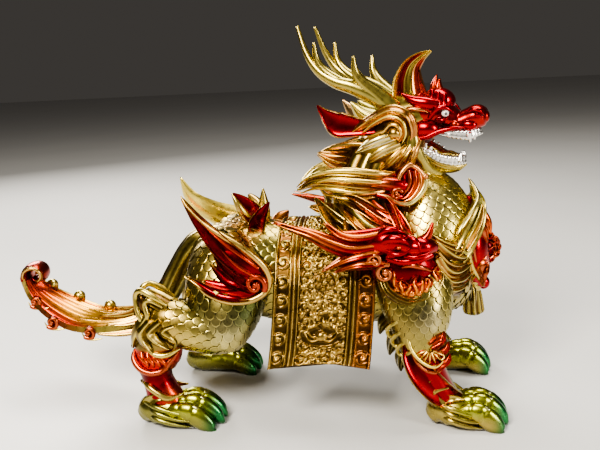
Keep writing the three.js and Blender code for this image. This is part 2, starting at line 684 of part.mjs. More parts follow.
function face() {
  const parts = [
    bud([-7, 0, 2], [15, 12.5, 12], 1),
    sweep(
      [
        [-2, 0, 4, 11, 10], [9, 0, 3, 9.5, 7.6], [17, 0, 0.4, 7.5, 5.4], [23, 0, 1.4, 6.8, 5.8],
        [27.2, 0, 1.6, 5.6, 5.2], [30.3, 0, 1, 2.8, 3],
      ],
      { section: roundSection(12) },
    ),
    bud([7, 0, 9], [8.5, 7.5, 7], 1),
    sweep(
      [
        [-8, 0, -10, 9, 6], [0, 0, -16.5, 9, 5.2], [8, 0, -21.5, 8, 4.4], [14.5, 0, -23, 6, 3.4],
        [18.5, 0, -22, 3, 2.2],
      ],
      { section: roundSection(9) },
    ),
    sweep([[0, 0, -11, 5, 2], [8, 0, -15.6, 4.6, 1.8], [15, 0, -18.4, 1.8, 1]], { section: BLADE }),
    sweep(
      [
        [-6, 0, 5, 5.4, 9.5], [-7.5, 0, 13, 5, 8.4], [-7.8, 0, 20, 4.2, 7], [-6, 0, 26.5, 3.2, 4.6],
        [-1.5, 0, 31, 2, 2.4], [3.5, 0, 33.5, 0.5, 0.5],
      ],
      { section: BLADE, pointed: true },
    ),
    lock([[6, 0, 12], [3.5, 0, 17], [5, 0, 22.5]], 3, 3),
    bud([-3, 0, -9], [6, 12.5, 7.5]),
    teethRow(UPPER_TEETH),
    teethRow(LOWER_TEETH),
  ];
  for (const side of SIDES) {
    parts.push(
      bud([5, side * 8, -3], [6.5, 5, 5], 1),
      bud([10, side * 6.5, 8], [5.5, 4, 3.4], 1),
      bud([11.8, side * 8, 3.6], [2.4, 2.4, 2.4]),
      bud([24.5, side * 3.6, 3], [3.6, 3.2, 3.4]),
      lock([[6, side * 5, 9], [3.5, side * 5.6, 14], [3.5, side * 4.5, 19.5]], 2.8, 3),
      lock([[1, side * 6, 6], [-3, side * 8, 10], [-9, side * 9, 13]], 3.6, 4),
    );
  }
  return parts;
}

function head() {
  const parts = [...face()];
  for (const side of SIDES) {
    parts.push(...antler(side), ...ear(side), ...beard(side));
  }
  const [x, y, z] = HEAD_PLACE.map((v) => v * UNIT);
  for (const piece of parts) {
    piece.rotateZ(THREE.MathUtils.degToRad(-HEAD_TURN));
    piece.translate(x, y, z);
  }
  return parts;
}

// Joining

function solidOf(geometry) {
  return new wasm.Manifold(
    new wasm.Mesh({
      numProp: 3,
      vertProperties: new Float32Array(geometry.attributes.position.array),
      triVerts: new Uint32Array(geometry.index.array),
    }),
  );
}

// The outer skin of a solid: pockets that the forms seal between them are filled.
function outerSkin(solid) {
  const { vertProperties, triVerts } = solid.getMesh();
  const group = Array.from({ length: vertProperties.length / 3 }, (_, i) => i);
  const find = (i) => {
    let root = i;
    while (group[root] !== root) root = group[root];
    group[i] = root;
    return root;
  };
  for (let i = 0; i < triVerts.length; i += 3) {
    group[find(triVerts[i])] = find(triVerts[i + 1]);
    group[find(triVerts[i + 1])] = find(triVerts[i + 2]);
  }
  const points = group.map((_, i) => new THREE.Vector3().fromArray(vertProperties, 3 * i));
  const highest = points.reduce((best, point, i) => (point.z > points[best].z ? i : best), 0);
  const faces = [];
  for (let i = 0; i < triVerts.length; i += 3) {
    if (find(triVerts[i]) === find(highest)) {
      faces.push([triVerts[i], triVerts[i + 1], triVerts[i + 2]]);
    }
  }
  return { points, faces };
}

// How far a point is from the planes that a corner of the surface lies in, squared and summed.
function planeError(planes, point) {
  return planes.reduce((sum, { normal, offset, area }) => sum + area * (normal.dot(point) - offset) ** 2, 0);
}

// Draws edges of the surface together, least visible change first, until it keeps to the budget.
// The surface stays closed: an edge is left when its ends share more than the two faces beside it,
// and when a face round it would turn over or close up.
function thinOut({ points, faces }, budget) {
  const smallestArea = 0.02 * UNIT ** 2; // square millimetres of a face
  const leastTurn = 0.35; // cosine of the furthest that a face may turn
  const share = 0.12; // of the edges, drawn together in one round
  const lengthWeight = 1e-4 * UNIT ** 2; // short edges go first where the surface is flat
  const corner = (face, from, to, at) => face.map((i) => (i === from || i === to ? at : points[i]));
  const areaVector = ([a, b, c]) => b.clone().sub(a).cross(c.clone().sub(a)).multiplyScalar(0.5);
  let left = faces;
  const planes = points.map(() => []);
  for (const face of faces) {
    const vector = areaVector(face.map((i) => points[i]));
    const area = vector.length();
    if (area > 0) {
      const normal = vector.divideScalar(area);
      const plane = { normal, offset: normal.dot(points[face[0]]), area };
      for (const i of face) {
        planes[i].push(plane);
      }
    }
  }
  for (let before = Infinity; left.length > budget && left.length < before; ) {
    before = left.length;
    const around = points.map(() => []);
    for (const face of left) {
      for (const i of face) {
        around[i].push(face);
      }
    }
    const edges = [];
    for (const face of left) {
      for (let k = 0; k < 3; k += 1) {
        const [a, b] = [face[k], face[(k + 1) % 3]];
        if (a > b) continue;
        const both = planes[a].concat(planes[b]);
        const places = [points[a], points[b], points[a].clone().lerp(points[b], 0.5)];
        const errors = places.map((place) => planeError(both, place));
        const best = errors.indexOf(Math.min(...errors));
        const length = points[a].distanceToSquared(points[b]);
        edges.push({ a, b, place: places[best].clone(), cost: errors[best] + lengthWeight * length });
      }
    }
    edges.sort((one, other) => one.cost - other.cost);
    const touched = new Set();
    const gone = new Set();
    for (const { a, b, place } of edges.slice(0, Math.ceil(edges.length * share))) {
      if (left.length - gone.size <= budget) break;
      const near = [...around[a], ...around[b]];
      if (near.some((face) => face.some((i) => touched.has(i)))) continue;
      const ring = (n) => new Set(around[n].flat().filter((i) => i !== n));
      const shared = [...ring(a)].filter((i) => ring(b).has(i));
      if (shared.length !== 2) continue;
      const kept = near.filter((face) => !(face.includes(a) && face.includes(b)));
      const spoils = (face) => {
        const was = areaVector(face.map((i) => points[i]));
        const will = areaVector(corner(face, a, b, place));
        return will.length() < smallestArea || will.dot(was) < leastTurn * will.length() * was.length();
      };
      if (kept.some(spoils)) continue;
      for (const face of near) {
        if (face.includes(a) && face.includes(b)) gone.add(face);
        face.forEach((i) => touched.add(i));
      }
      for (const face of kept) {
        const at = face.indexOf(b);
        if (at >= 0) face[at] = a;
      }
      points[a].copy(place);
      planes[a] = planes[a].concat(planes[b]);
    }
    left = left.filter((face) => !gone.has(face));
  }
  return { points, faces: left };
}

function geometryOf({ points, faces }) {
  const used = [...new Set(faces.flat())];
  const place = new Map(used.map((i, n) => [i, n]));
  const geometry = new THREE.BufferGeometry();
  const numbers = used.flatMap((i) => points[i].toArray());
  geometry.setAttribute("position", new THREE.Float32BufferAttribute(numbers, 3));
  geometry.setIndex(faces.flat().map((i) => place.get(i)));
  // The origin lies on the ground, under the middle of the figure.
  geometry.computeBoundingBox();
  const middle = geometry.boundingBox.getCenter(new THREE.Vector3());
  geometry.translate(-middle.x, -middle.y, -geometry.boundingBox.min.z);
  geometry.computeVertexNormals();
  return geometry;
}

const forms = [
  ...body(), ...tail(), ...saddleCloth(), ...backFlames(), ...mane(), ...breast(), ...head(),
];
for (const side of SIDES) {
  forms.push(...hindLeg(side), ...foreLeg(side), ...hipFlame(side), ...shoulderGuard(side));
}
const joined = forms.map(solidOf).reduce((whole, next) => whole.add(next));

// The soles are ground flat at Z = 0.
const ground = new THREE.BoxGeometry(FIGURE_HEIGHT * 3, FIGURE_HEIGHT * 2, SOLE_CUT);
ground.translate(0, 0, -SOLE_CUT / 2);
ground.deleteAttribute("normal");
ground.deleteAttribute("uv");
const cast = joined.subtract(solidOf(mergeVertices(ground)));

const lacqueredAlloy = new THREE.MeshStandardMaterial({ color: 0xb8902f, roughness: 0.3, metalness: 0.9 });
const surface = thinOut(outerSkin(cast), FACET_BUDGET);
const figure = new THREE.Mesh(geometryOf(surface), lacqueredAlloy);
figure.name = "qilin_figure";

const group = new THREE.Group();
group.add(figure);

export default group;
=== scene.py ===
"""A qilin ornament, cast in one piece and finished in gold, red and green metallic lacquer.

The forms are written in millimetres in the pose's own frame: +X from tail to chest, +Y to the
figure's left, +Z up from the soles. to_row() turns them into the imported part's frame, in metres.
"""

import math
import random

import bpy
import numpy as np
from mathutils import Matrix, Vector
from mathutils.bvhtree import BVHTree


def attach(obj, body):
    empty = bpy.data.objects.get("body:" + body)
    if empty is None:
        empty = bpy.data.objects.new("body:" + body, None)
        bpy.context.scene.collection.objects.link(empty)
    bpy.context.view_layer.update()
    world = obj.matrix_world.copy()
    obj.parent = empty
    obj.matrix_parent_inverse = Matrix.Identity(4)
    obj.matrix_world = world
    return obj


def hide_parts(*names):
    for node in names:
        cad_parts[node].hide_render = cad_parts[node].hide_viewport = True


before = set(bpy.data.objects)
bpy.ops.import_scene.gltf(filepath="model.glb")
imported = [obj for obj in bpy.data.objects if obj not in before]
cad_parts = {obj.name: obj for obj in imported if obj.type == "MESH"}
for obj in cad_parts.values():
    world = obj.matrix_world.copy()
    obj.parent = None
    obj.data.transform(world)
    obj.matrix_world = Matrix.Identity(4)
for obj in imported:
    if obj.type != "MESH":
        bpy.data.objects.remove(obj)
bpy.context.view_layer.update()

NODE = "qilin_figure"
MM = 0.001
MIDDLE_X = 0.85  # the pose's X = 0 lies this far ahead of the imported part's, in millimetres
RIGHT = -1
LEFT = 1
SIDES = (RIGHT, LEFT)

# Driving sizes, the same as the solid's
HALF_STANCE = 34.0
HIND_STAGGER = 8.0
HEAD_TURN = 17.0
HEAD_PLACE = (92.8, 0.0, 147.2)
CLOTH_LENGTH = 50.0
CLOTH_DROP = 33.0
CLOTH_THICKNESS = 2.6
BORDER_WIDTH = 8.0
BORDER_PITCH = 9.4
TASSEL_LENGTH = 14.0

# Lacquers, as linear colours
GOLD = (0.51, 0.385, 0.095)
PALE_GOLD = (0.85, 0.67, 0.145)
CREAM = (0.84, 0.76, 0.38)
AMBER = (0.95, 0.46, 0.035)
OLIVE = (0.20, 0.18, 0.04)
BROWN = (0.085, 0.040, 0.008)
COPPER = (0.36, 0.13, 0.03)
RED = (0.31, 0.004, 0.008)
MAROON = (0.09, 0.0, 0.002)
ORANGE = (0.72, 0.13, 0.012)
PINK_GOLD = (0.60, 0.25, 0.08)
GREEN = (0.03, 0.17, 0.05)
DEEP_GREEN = (0.020, 0.050, 0.014)
LEAF_GREEN = (0.35, 0.36, 0.04)
SILVER = (0.72, 0.71, 0.68)
WHITE = (0.86, 0.82, 0.78)
BLACK = (0.006, 0.005, 0.005)


def to_row(points):
    """Points of the pose, in millimetres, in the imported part's frame, in metres."""
    return (np.asarray(points, float) + (MIDDLE_X, 0.0, 0.0)) * MM


def smooth(x, low, high):
    """0 below low, 1 above high, and an even rise between."""
    t = np.clip((np.asarray(x, float) - low) / (high - low), 0.0, 1.0)
    return t * t * (3.0 - 2.0 * t)


def mix(one, other, share):
    """Colours between one and other, for an array of shares."""
    share = np.asarray(share, float)[..., None]
    return np.asarray(one) * (1.0 - share) + np.asarray(other) * share


def spline(rows, places):
    """A uniform Catmull-Rom spline through rows of numbers, read at places from 0 to len(rows) - 1."""
    rows = np.asarray(rows, float)
    places = np.asarray(places, float)
    last = len(rows) - 1
    i = np.clip(np.floor(places).astype(int), 0, last - 1)
    f = (places - i)[..., None]
    p0, p1, p2, p3 = (rows[np.clip(i + k, 0, last)] for k in (-1, 0, 1, 2))
    slope1 = (p2 - p0) / 2
    slope2 = (p3 - p1) / 2
    rise = p2 - p1
    return p1 + f * (slope1 + f * (3 * rise - 2 * slope1 - slope2 + f * (slope1 + slope2 - 2 * rise)))


def unit(vectors):
    """The vectors at length 1."""
    return vectors / np.maximum(np.linalg.norm(vectors, axis=-1, keepdims=True), 1e-9)


class Shells:
    """Closed shells gathered for one piece: corners, faces, and a lacquer for each corner.

    place turns points of the piece's own frame, if it has one, into the pose's frame.
    """

    def __init__(self, name, place=None):
        self.name = name
        self.place = place
        self.points = []
        self.colours = []
        self.faces = []
        self.count = 0

    def add(self, points, colours, faces):
        points = np.asarray(points, float)
        triangles = []
        for face in faces:
            for k in range(1, len(face) - 1):
                triangles.append((face[0], face[k], face[k + 1]))
        t = points[np.array(triangles)]
        volume = np.einsum("ij,ij->i", t[:, 0], np.cross(t[:, 1], t[:, 2])).sum()
        if volume < 0:
            faces = [tuple(reversed(face)) for face in faces]
        self.points.append(points)
        self.colours.append(np.broadcast_to(np.asarray(colours, float), points.shape))
        self.faces.extend(tuple(i + self.count for i in face) for face in faces)
        self.count += len(points)


def around(count):
    """Each place on a ring of count places, with the one after it."""
    return [(i, (i + 1) % count) for i in range(count)]


def ring_angles(count):
    """Even angles round a ring, one for each of its places."""
    return np.arange(count) * 2 * math.pi / count


def on_side(rows, side):
    """Rows of x, y, z and any sizes, written for the left, on one side of the figure."""
    return [[x, side * y, *rest] for x, y, *rest in rows]


def grid_faces(rows, columns):
    """Four-sided faces of a grid of corners that is closed round its columns."""
    return [
        (r * columns + i, r * columns + j, (r + 1) * columns + j, (r + 1) * columns + i)
        for r in range(rows - 1)
        for i, j in around(columns)
    ]


# Cross-sections, as [across the thin way, along the wide way], from -1 to 1

def round_section(sides):
    """A circle."""
    angle = ring_angles(sides)
    return np.stack([np.cos(angle), np.sin(angle)], axis=1)


def mirrored(half):
    """A whole section from its half, written from the middle of the front to the middle of the back."""
    half = np.asarray(half, float)
    return np.concatenate([half, half[-2:0:-1] * (1, -1)])


def both_halves(side):
    """A whole section from one of its sides, written from one edge to the other."""
    side = np.asarray(side, float)
    return np.concatenate([side, side[-2:0:-1] * (-1, 1)])


def flame_section(grooves, depth, samples):
    """A lock's section: a domed front with grooves down it, keen edges and a flatter back."""
    v = np.linspace(0, 1, samples // 2)
    dome = -0.1 + 1.1 * (1 - v**2.2)
    carving = depth * (0.5 - 0.5 * np.cos(2 * math.pi * grooves * v)) * (1 - v**6)
    front = np.stack([dome - carving, v], axis=1)
    back = np.array([[-0.35, 0.9], [-0.75, 0.6], [-0.95, 0.3], [-1, 0]])
    return mirrored(np.concatenate([front, back]))


def twisted(sides, strands, depth, twist=0.0):
    """A round section by the share along, grooved as deep as depth says between winding strands."""
    angle = ring_angles(sides)

    def section(share):
        groove = 0.5 - 0.5 * np.cos(angle * strands + share * twist)
        wave = 1 - (depth(share) if callable(depth) else depth) * groove
        return np.stack([np.cos(angle) * wave, np.sin(angle) * wave], axis=2)

    return section


def both_faces(grooves, depth, samples=18):
    """A lock's section that is grooved on both its faces."""
    v = np.linspace(0, 1, samples)
    dome = 1 - v**2.4
    carving = depth * (0.5 - 0.5 * np.cos(2 * math.pi * grooves * v)) * (1 - v**6)
    front = np.stack([dome - carving, v], axis=1)
    back = front[-2::-1] * (-1, 1)
    return mirrored(np.concatenate([front, back]))


# A leaf hollowed along its front between two raised rims
HOLLOW = mirrored([
    [0.10, 0], [0.12, 0.14], [0.19, 0.28], [0.32, 0.42], [0.50, 0.56], [0.66, 0.68], [0.72, 0.74],
    [0.98, 0.77], [1.10, 0.82], [1.10, 0.89], [0.95, 0.96], [0.6, 1.0], [0.1, 1.0], [-0.4, 0.86],
    [-0.8, 0.58], [-1, 0.3], [-1, 0],
])
HOLLOW_RIM = 0.75
# The same leaf with a rib down the middle of the hollow
RIBBED_HOLLOW = mirrored([
    [0.62, 0], [0.56, 0.07], [0.26, 0.14], [0.14, 0.24], [0.2, 0.38], [0.36, 0.5], [0.5, 0.6],
    [0.6, 0.68], [0.7, 0.74], [0.98, 0.77], [1.10, 0.82], [1.10, 0.89], [0.95, 0.96], [0.6, 1.0],
    [0.1, 1.0], [-0.4, 0.86], [-0.8, 0.58], [-1, 0.3], [-1, 0],
])
# A leaf hollowed along its front, with a fine rim
FINE_HOLLOW = mirrored([
    [0.04, 0], [0.08, 0.25], [0.16, 0.5], [0.30, 0.7], [0.46, 0.82], [0.60, 0.86], [0.90, 0.885],
    [1.0, 0.93], [0.85, 0.975], [0.4, 1.0], [-0.1, 0.95], [-0.6, 0.7], [-0.9, 0.4], [-1, 0.15], [-1, 0],
])


# Blunt ends are closed with a low dome, in rings at these angles
DOME_ANGLES = (0.5, 0.95, 1.3)
DOME_HEIGHT = 0.5  # as a share of the end's lesser half size
CREASE_REACH = 1.1  # in steps along the sweep


def sweep(piece, stations, section, colour, steps=6, thin=(0, 1, 0), thin_end=None, pointed=False,
          creases=(), crease=0.11):
    """A closed shell along stations [x, y, z, half thickness, half width], and the grid of its skin.

    section is an outline, a function of the share along that gives one, or a round one's number of sides.
    colour is one lacquer, or a function of (share along, section points, points) that gives them all.
    thin is the way across the form's thickness, turning to thin_end at its far end.
    creases are the shares along at which a fine groove runs round the form, crease deep.
    """
    if isinstance(section, int):
        section = round_section(section)
    stations = np.asarray(stations, float)
    last = (len(stations) - 1) * steps
    rows = spline(stations, np.linspace(0, len(stations) - 1, last + 1))
    middles = rows[:, :3]
    u = np.linspace(0, 1, last + 1)[:, None]
    for groove in creases:
        rows[:, 3:] *= 1 - crease * np.exp(-(((u - groove) * last / CREASE_REACH) ** 2))
    along = unit(np.gradient(middles, axis=0))
    start = np.asarray(thin, float)
    end = start if thin_end is None else np.asarray(thin_end, float)
    across = start * (1 - u) + end * u
    across = unit(across - along * (across * along).sum(1, keepdims=True))
    wide = np.cross(along, across)
    shape = section(u) if callable(section) else section
    shape = np.broadcast_to(shape, (last + 1,) + np.shape(shape)[-2:])
    grid = (
        middles[:, None]
        + across[:, None] * shape[..., :1] * rows[:, 3][:, None, None]
        + wide[:, None] * shape[..., 1:] * rows[:, 4][:, None, None]
    )
    if pointed:
        rings = grid[:-1]
        ends = [middles[0], middles[-1]]
    else:
        domes = []
        for at, way in ((0, -1.0), (-1, 1.0)):
            reach = min(rows[at, 3], rows[at, 4]) * DOME_HEIGHT
            rounded = []
            for angle in DOME_ANGLES:
                ring = middles[at] + (grid[at] - middles[at]) * math.cos(angle)
                rounded.append(ring + along[at] * way * reach * math.sin(angle))
            domes.append((rounded, middles[at] + along[at] * way * reach))
        rings = np.array(domes[0][0][::-1] + list(grid) + domes[1][0])
        ends = [domes[0][1], domes[1][1]]
    m, k = rings.shape[:2]
    corners = np.concatenate([rings.reshape(-1, 3), np.array(ends)])
    if piece.place is None:
        corners[:, 2] = np.maximum(corners[:, 2], 0.0)
    else:
        corners = piece.place(corners)
    if callable(colour):
        pad = 0 if pointed else len(DOME_ANGLES)
        nearest = np.clip(np.arange(m) - pad, 0, last)
        tints = colour(nearest[:, None] / last, shape[nearest], corners[: m * k].reshape(m, k, 3))
        tints = np.broadcast_to(tints, (m, k, 3)).reshape(-1, 3)
        tints = np.concatenate([tints, tints[:1], tints[-1:]])
    else:
        tints = np.asarray(colour, float)
    faces = grid_faces(m, k)
    first, final = m * k, m * k + 1
    for i, j in around(k):
        faces.append((first, j, i))
        faces.append((final, (m - 1) * k + i, (m - 1) * k + j))
    piece.add(corners, tints, faces)
    return grid


def bead(piece, path, radius, colour, sides=10, steps=5, taper=False):
    """A fine rounded line along a path."""
    path = np.asarray(path, float)
    radii = np.full(len(path), float(radius))
    if taper:
        radii[0] = radii[-1] = radius * 0.3
    sweep(piece, np.column_stack([path, radii, radii]), sides, colour, steps=steps)


def ball(piece, centre, radii, colour, rings=10, sides=16):
    """A bud, boss or eye with its half axes along X, Y and Z."""
    polar = np.linspace(0, math.pi, rings + 1)[1:-1, None]
    turn = ring_angles(sides)
    level = np.broadcast_to(np.cos(polar), (rings - 1, sides))
    shape = np.stack([np.sin(polar) * np.cos(turn), np.sin(polar) * np.sin(turn), level],
                     axis=2).reshape(-1, 3)
    shape = np.concatenate([shape, [[0, 0, 1], [0, 0, -1]]])
    corners = np.asarray(centre, float) + shape * np.asarray(radii, float)
    faces = grid_faces(rings - 1, sides)
    top = (rings - 1) * sides
    for i, j in around(sides):
        faces.append((top, i, j))
        faces.append((top + 1, (rings - 2) * sides + j, (rings - 2) * sides + i))
    if piece.place is not None:
        corners = piece.place(corners)
    corners[:, 2] = np.maximum(corners[:, 2], 0.0)
    piece.add(corners, colour, faces)


# A lock's width at four even places from its root to its point
SWELL = [[0.8], [1.0], [0.72], [0.1]]


def lock(piece, path, half_width, half_thickness, colour, section, **options):
    """A flame lock: widest a third of the way, and ending in a point."""
    path = np.asarray(path, float)
    shares = spline(SWELL, np.linspace(0, 3, len(path)))[:, 0]
    stations = np.column_stack([path, half_thickness * np.sqrt(shares), half_width * shares])
    options.setdefault("steps", max(5, 24 // len(path)))
    sweep(piece, stations, section, colour, pointed=True, **options)


def spike(piece, path, thick, fine, colour, sides=16):
    """A tapering bar whose radius runs from thick to fine, with a rounded tip."""
    path = np.asarray(path, float)
    radius = thick + (fine - thick) * np.linspace(0, 1, len(path)) ** 1.3
    sweep(piece, np.column_stack([path, radius, radius]), sides, colour)


def scroll(piece, centre, radius, bar, side, colour, start, turns=1.25, wind=1.0):
    """A bar wound into a scroll that faces along Y and rises towards the ball in its middle."""
    f = np.linspace(0, 1, 26)
    angle = start + wind * f * turns * 2 * math.pi
    reach = radius * (1 - 0.78 * f)
    x, y, z = centre
    half = bar * (1 - 0.4 * f)
    stations = [x + reach * np.cos(angle), y + side * bar * 0.9 * f, z + reach * np.sin(angle),
                half, half]
    sweep(piece, np.column_stack(stations), 12, colour, steps=1)
    ball(piece, (x, y + side * bar * 0.7, z), (radius * 0.3,) * 3, colour)


def level_ring(piece, centre, reach, bar, colour):
    """A raised level ring."""
    angle = np.linspace(0, 2 * math.pi, 29)[:-1]
    middles = centre + reach * np.stack([np.cos(angle), np.sin(angle), 0 * angle], axis=1)
    along = unit(np.roll(middles, -1, axis=0) - np.roll(middles, 1, axis=0))
    outward = unit(middles - centre)
    wide = np.cross(along, outward)
    section = round_section(10) * bar
    grid = middles[:, None] + outward[:, None] * section[:, :1] + wide[:, None] * section[:, 1:]
    rows, columns = grid.shape[:2]
    faces = [
        (r * columns + i, r * columns + j, s * columns + j, s * columns + i)
        for r, s in around(rows)
        for i, j in around(columns)
    ]
    piece.add(grid.reshape(-1, 3), colour, faces)


# Lacquer patterns

def graded(root, tip, low, high, strength=1.0):
    """Lacquer that changes along a form from root to tip, between the shares low and high."""
    return lambda share, section, points: mix(root, tip, strength * smooth(share, low, high))


def rimmed(rim, hollow, deep, edge=HOLLOW_RIM, tip=None, tip_from=0.75):
    """A hollowed leaf's colours: the rims, the hollow that darkens to its middle as painted shade, and the
    leaf's tip.
    """

    def tints(share, section, points):
        a, b = section[..., 0], np.abs(section[..., 1])
        on_rim = np.where((b > edge) | (a < 0), 1.0, 0.0)
        # Painted shade: the hollow darkens to deep in its middle
        colour = mix(mix(deep, hollow, smooth(b, 0.05, 0.6)), rim, on_rim)
        return colour if tip is None else mix(colour, tip, smooth(share, tip_from, 1.0))

    return tints


def carved(high, low, along=None, grooves=2, from_share=0.45):
    """A grooved lock's colours: high on the ridges, low as painted shade in the grooves and half of it on
    the back, and along towards its point.
    """

    def tints(share, section, points):
        a, b = section[..., 0], np.abs(section[..., 1])
        # Painted shade: darker in the grooves, and darker by half on the back
        ridge = 0.5 + 0.5 * np.cos(2 * math.pi * grooves * b)
        ridge = np.where(b > 0.93, 1.0, ridge) * np.where(a < 0, 0.5, 1.0)
        top = high if along is None else mix(high, along, smooth(share, from_share, 1.0))
        return mix(low, top, ridge)

    return tints


def twisted_tints(low, high, strands, twist, strength=1.0):
    """The lacquer of a twisted section: high on its strands, and low as painted shade in the grooves
    between them.
    """

    def tints(share, section, points):
        angle = np.arctan2(section[..., 1], section[..., 0])
        return mix(low, high, strength * (0.5 + 0.5 * np.cos(angle * strands + share * twist)))

    return tints


# Patches over the scaled body, as centre, reach, lacquer and strength; both sides have each.
# The orange, amber, olive, leaf green and cream ones are airbrushed tints; the deep green ones are green
# paint deepened as painted shade under the belly, the flames and the guards; the brown ones darken the
# body behind the legs and the rump; the silver ones are painted highlights.
PATCHES = [
    ((4, 40, 62), 15, DEEP_GREEN, 0.9),
    ((-22, 38, 64), 9, DEEP_GREEN, 0.75),
    ((-8, 42, 52), 9, SILVER, 0.2),
    ((-12, 38, 48), 12, LEAF_GREEN, 0.35),
    ((12, 26, 90), 13, DEEP_GREEN, 0.9),
    ((-4, 8, 101), 7, ORANGE, 0.5),
    ((2, 20, 95), 6, ORANGE, 0.55),
    ((88, 42, 66), 8, DEEP_GREEN, 0.55),
    ((78, 38, 54), 10, BROWN, 0.6),
    ((89, 42, 48), 9, OLIVE, 0.6),
    ((84, 40, 60), 12, mix(OLIVE, BROWN, 0.4), 0.5),
    ((100, 30, 58), 12, LEAF_GREEN, 0.4),
    ((92, 42, 58), 7, SILVER, 0.2),
    ((-30, 20, 70), 14, BROWN, 0.5),
    ((-40, 40, 56), 9, AMBER, 0.3),
    ((106, 18, 100), 8, OLIVE, 0.5),
    ((94, 22, 112), 12, CREAM, 0.3),
    # Deep green painted shade under the belly, the chest and the rump
    ((45, 0, 44), 24, DEEP_GREEN, 0.9),
    ((90, 0, 50), 18, DEEP_GREEN, 0.85),
    ((-5, 0, 58), 20, DEEP_GREEN, 0.85),
]


def airbrush_and_painted_light(points, base=GOLD):
    """The body's lacquer at these points: gold, with airbrushed tints, painted shade and painted
    highlights over it.
    """
    points = np.asarray(points, float)
    colour = np.broadcast_to(base, points.shape)
    for (x, y, z), reach, lacquer, strength in PATCHES:
        across = np.abs(points[..., 1]) - y
        away = (points[..., 0] - x) ** 2 + across**2 + (points[..., 2] - z) ** 2
        colour = mix(colour, lacquer, strength * np.exp(-(away / reach**2)))
    return colour


def skin(share, section, points):
    """The ground between the scales: the body's tints darkened as painted shade."""
    return airbrush_and_painted_light(points) * 0.4


# Scales

cad_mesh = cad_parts[NODE].data
CAD_SKIN = BVHTree.FromPolygons([v.co for v in cad_mesh.vertices],
                                [p.vertices for p in cad_mesh.polygons])
SKIN_REACH = 1.5


def near_skin(point):
    """Whether a point of the pose lies at the figure's own outer skin, and not inside another form."""
    distance = CAD_SKIN.find_nearest(Vector(to_row(point)))[3]
    return distance < SKIN_REACH * MM


SCALE_SIDES = 10
SCALE_CROWN = 0.16
# A scale's rings as reach, lift and painted light: the ring round the crown a little darker, the bead
# brighter as a painted highlight, and the groove outside it and the foot dark with painted shade
SCALE_RINGS = ((0.70, 0.085, 0.85), (0.84, 0.085, 1.25), (0.915, 0.055, 0.12), (1.0, -0.16, 0.04))


def scale_form():
    """One scale over the square from -0.5 to 0.5: x across, y towards its free end, z up from the skin."""
    angle = ring_angles(SCALE_SIDES)
    x = np.sign(np.sin(angle)) * np.abs(np.sin(angle)) ** 0.8
    y = np.cos(angle)
    outline = np.stack([0.555 * x, 0.60 * y + 0.08 * np.clip(y, 0, 1) ** 4], axis=1)
    points = [[0, 0, SCALE_CROWN]]
    painted_light = [1.0]
    for reach, lift, bright in SCALE_RINGS:
        for px, py in outline * reach:
            tilt = 0.14 * py if lift > 0 else 0.0
            points.append([px, py, lift + tilt])
            painted_light.append(bright)
    faces = []
    for i, j in around(SCALE_SIDES):
        faces.append((0, 1 + i, 1 + j))
        for ring in range(len(SCALE_RINGS) - 1):
            a, b = 1 + ring * SCALE_SIDES, 1 + (ring + 1) * SCALE_SIDES
            faces.append((a + i, b + i, b + j, a + j))
    faces.append(tuple(range(len(points) - 1, len(points) - 1 - SCALE_SIDES, -1)))
    return np.array(points), np.array(painted_light), faces


SCALE_POINTS, SCALE_PAINTED_LIGHT, SCALE_FACES = scale_form()
ROW_STEP = 0.74  # a row of scales follows the last after this share of a scale's width
scale_chance = random.Random(11)


def scale_coat(piece, grid, width, keep=None, base=GOLD, backwards=False, rows=(0.0, 1.0)):
    """Overlapping rows of scales over a swept form's skin, their free ends towards the sweep's end."""
    if backwards:
        grid = grid[::-1]
    m, k = grid.shape[:2]
    sideways = np.roll(grid, -1, axis=1) - np.roll(grid, 1, axis=1)
    down = np.gradient(grid, axis=0)
    normals = unit(np.cross(sideways, down))
    centre = grid.mean(axis=1, keepdims=True)
    if ((grid - centre) * normals).sum() < 0:
        normals = -normals
    lengths = np.linalg.norm(np.diff(grid, axis=0), axis=2).max(axis=1)
    travelled = np.concatenate([[0], np.cumsum(lengths)])
    step = width * ROW_STEP
    outward = 1 if grid[..., 1].mean() > 3 else -1
    count_rows = int(travelled[-1] * (rows[1] - rows[0]) / step)
    for row in range(count_rows):
        place = np.interp(travelled[-1] * rows[0] + (row + 0.5) * step, travelled, np.arange(m))
        i = min(int(place), m - 2)
        f = place - i
        ring, flow, out = (part[i] * (1 - f) + part[i + 1] * f for part in (grid, down, normals))
        closed = np.concatenate([ring, ring[:1]])
        arc = np.concatenate([[0], np.cumsum(np.linalg.norm(np.diff(closed, axis=0), axis=1))])
        count = max(5, round(arc[-1] / width))
        # Counted from the outward side, where the rows are seen to lie like bricks
        start = arc[np.argmax(ring[:, 1] * outward)]
        for n in range(count):
            t = np.interp((start + (n + 0.5 * (row % 2)) / count * arc[-1]) % arc[-1], arc,
                          np.arange(k + 1))
            j = min(int(t), k - 1)
            g = t - j
            point, up, way = (part[j] * (1 - g) + part[(j + 1) % k] * g for part in (ring, out, flow))
            if not near_skin(point) or (keep is not None and not keep(point)):
                continue
            up = unit(up)
            way = unit(way - up * (way @ up))
            form = SCALE_POINTS * (arc[-1] / count, step * 1.5, width)
            corners = point + form[:, :1] * np.cross(way, up) + form[:, 1:2] * way + form[:, 2:] * up
            tint = airbrush_and_painted_light(point, base) * scale_chance.uniform(0.86, 1.12)
            # Each corner's lacquer times its ring's painted light: a highlight on the bead, painted shade
            # in the groove and at the foot
            piece.add(corners, tint * SCALE_PAINTED_LIGHT[:, None], SCALE_FACES)


# Body and neck

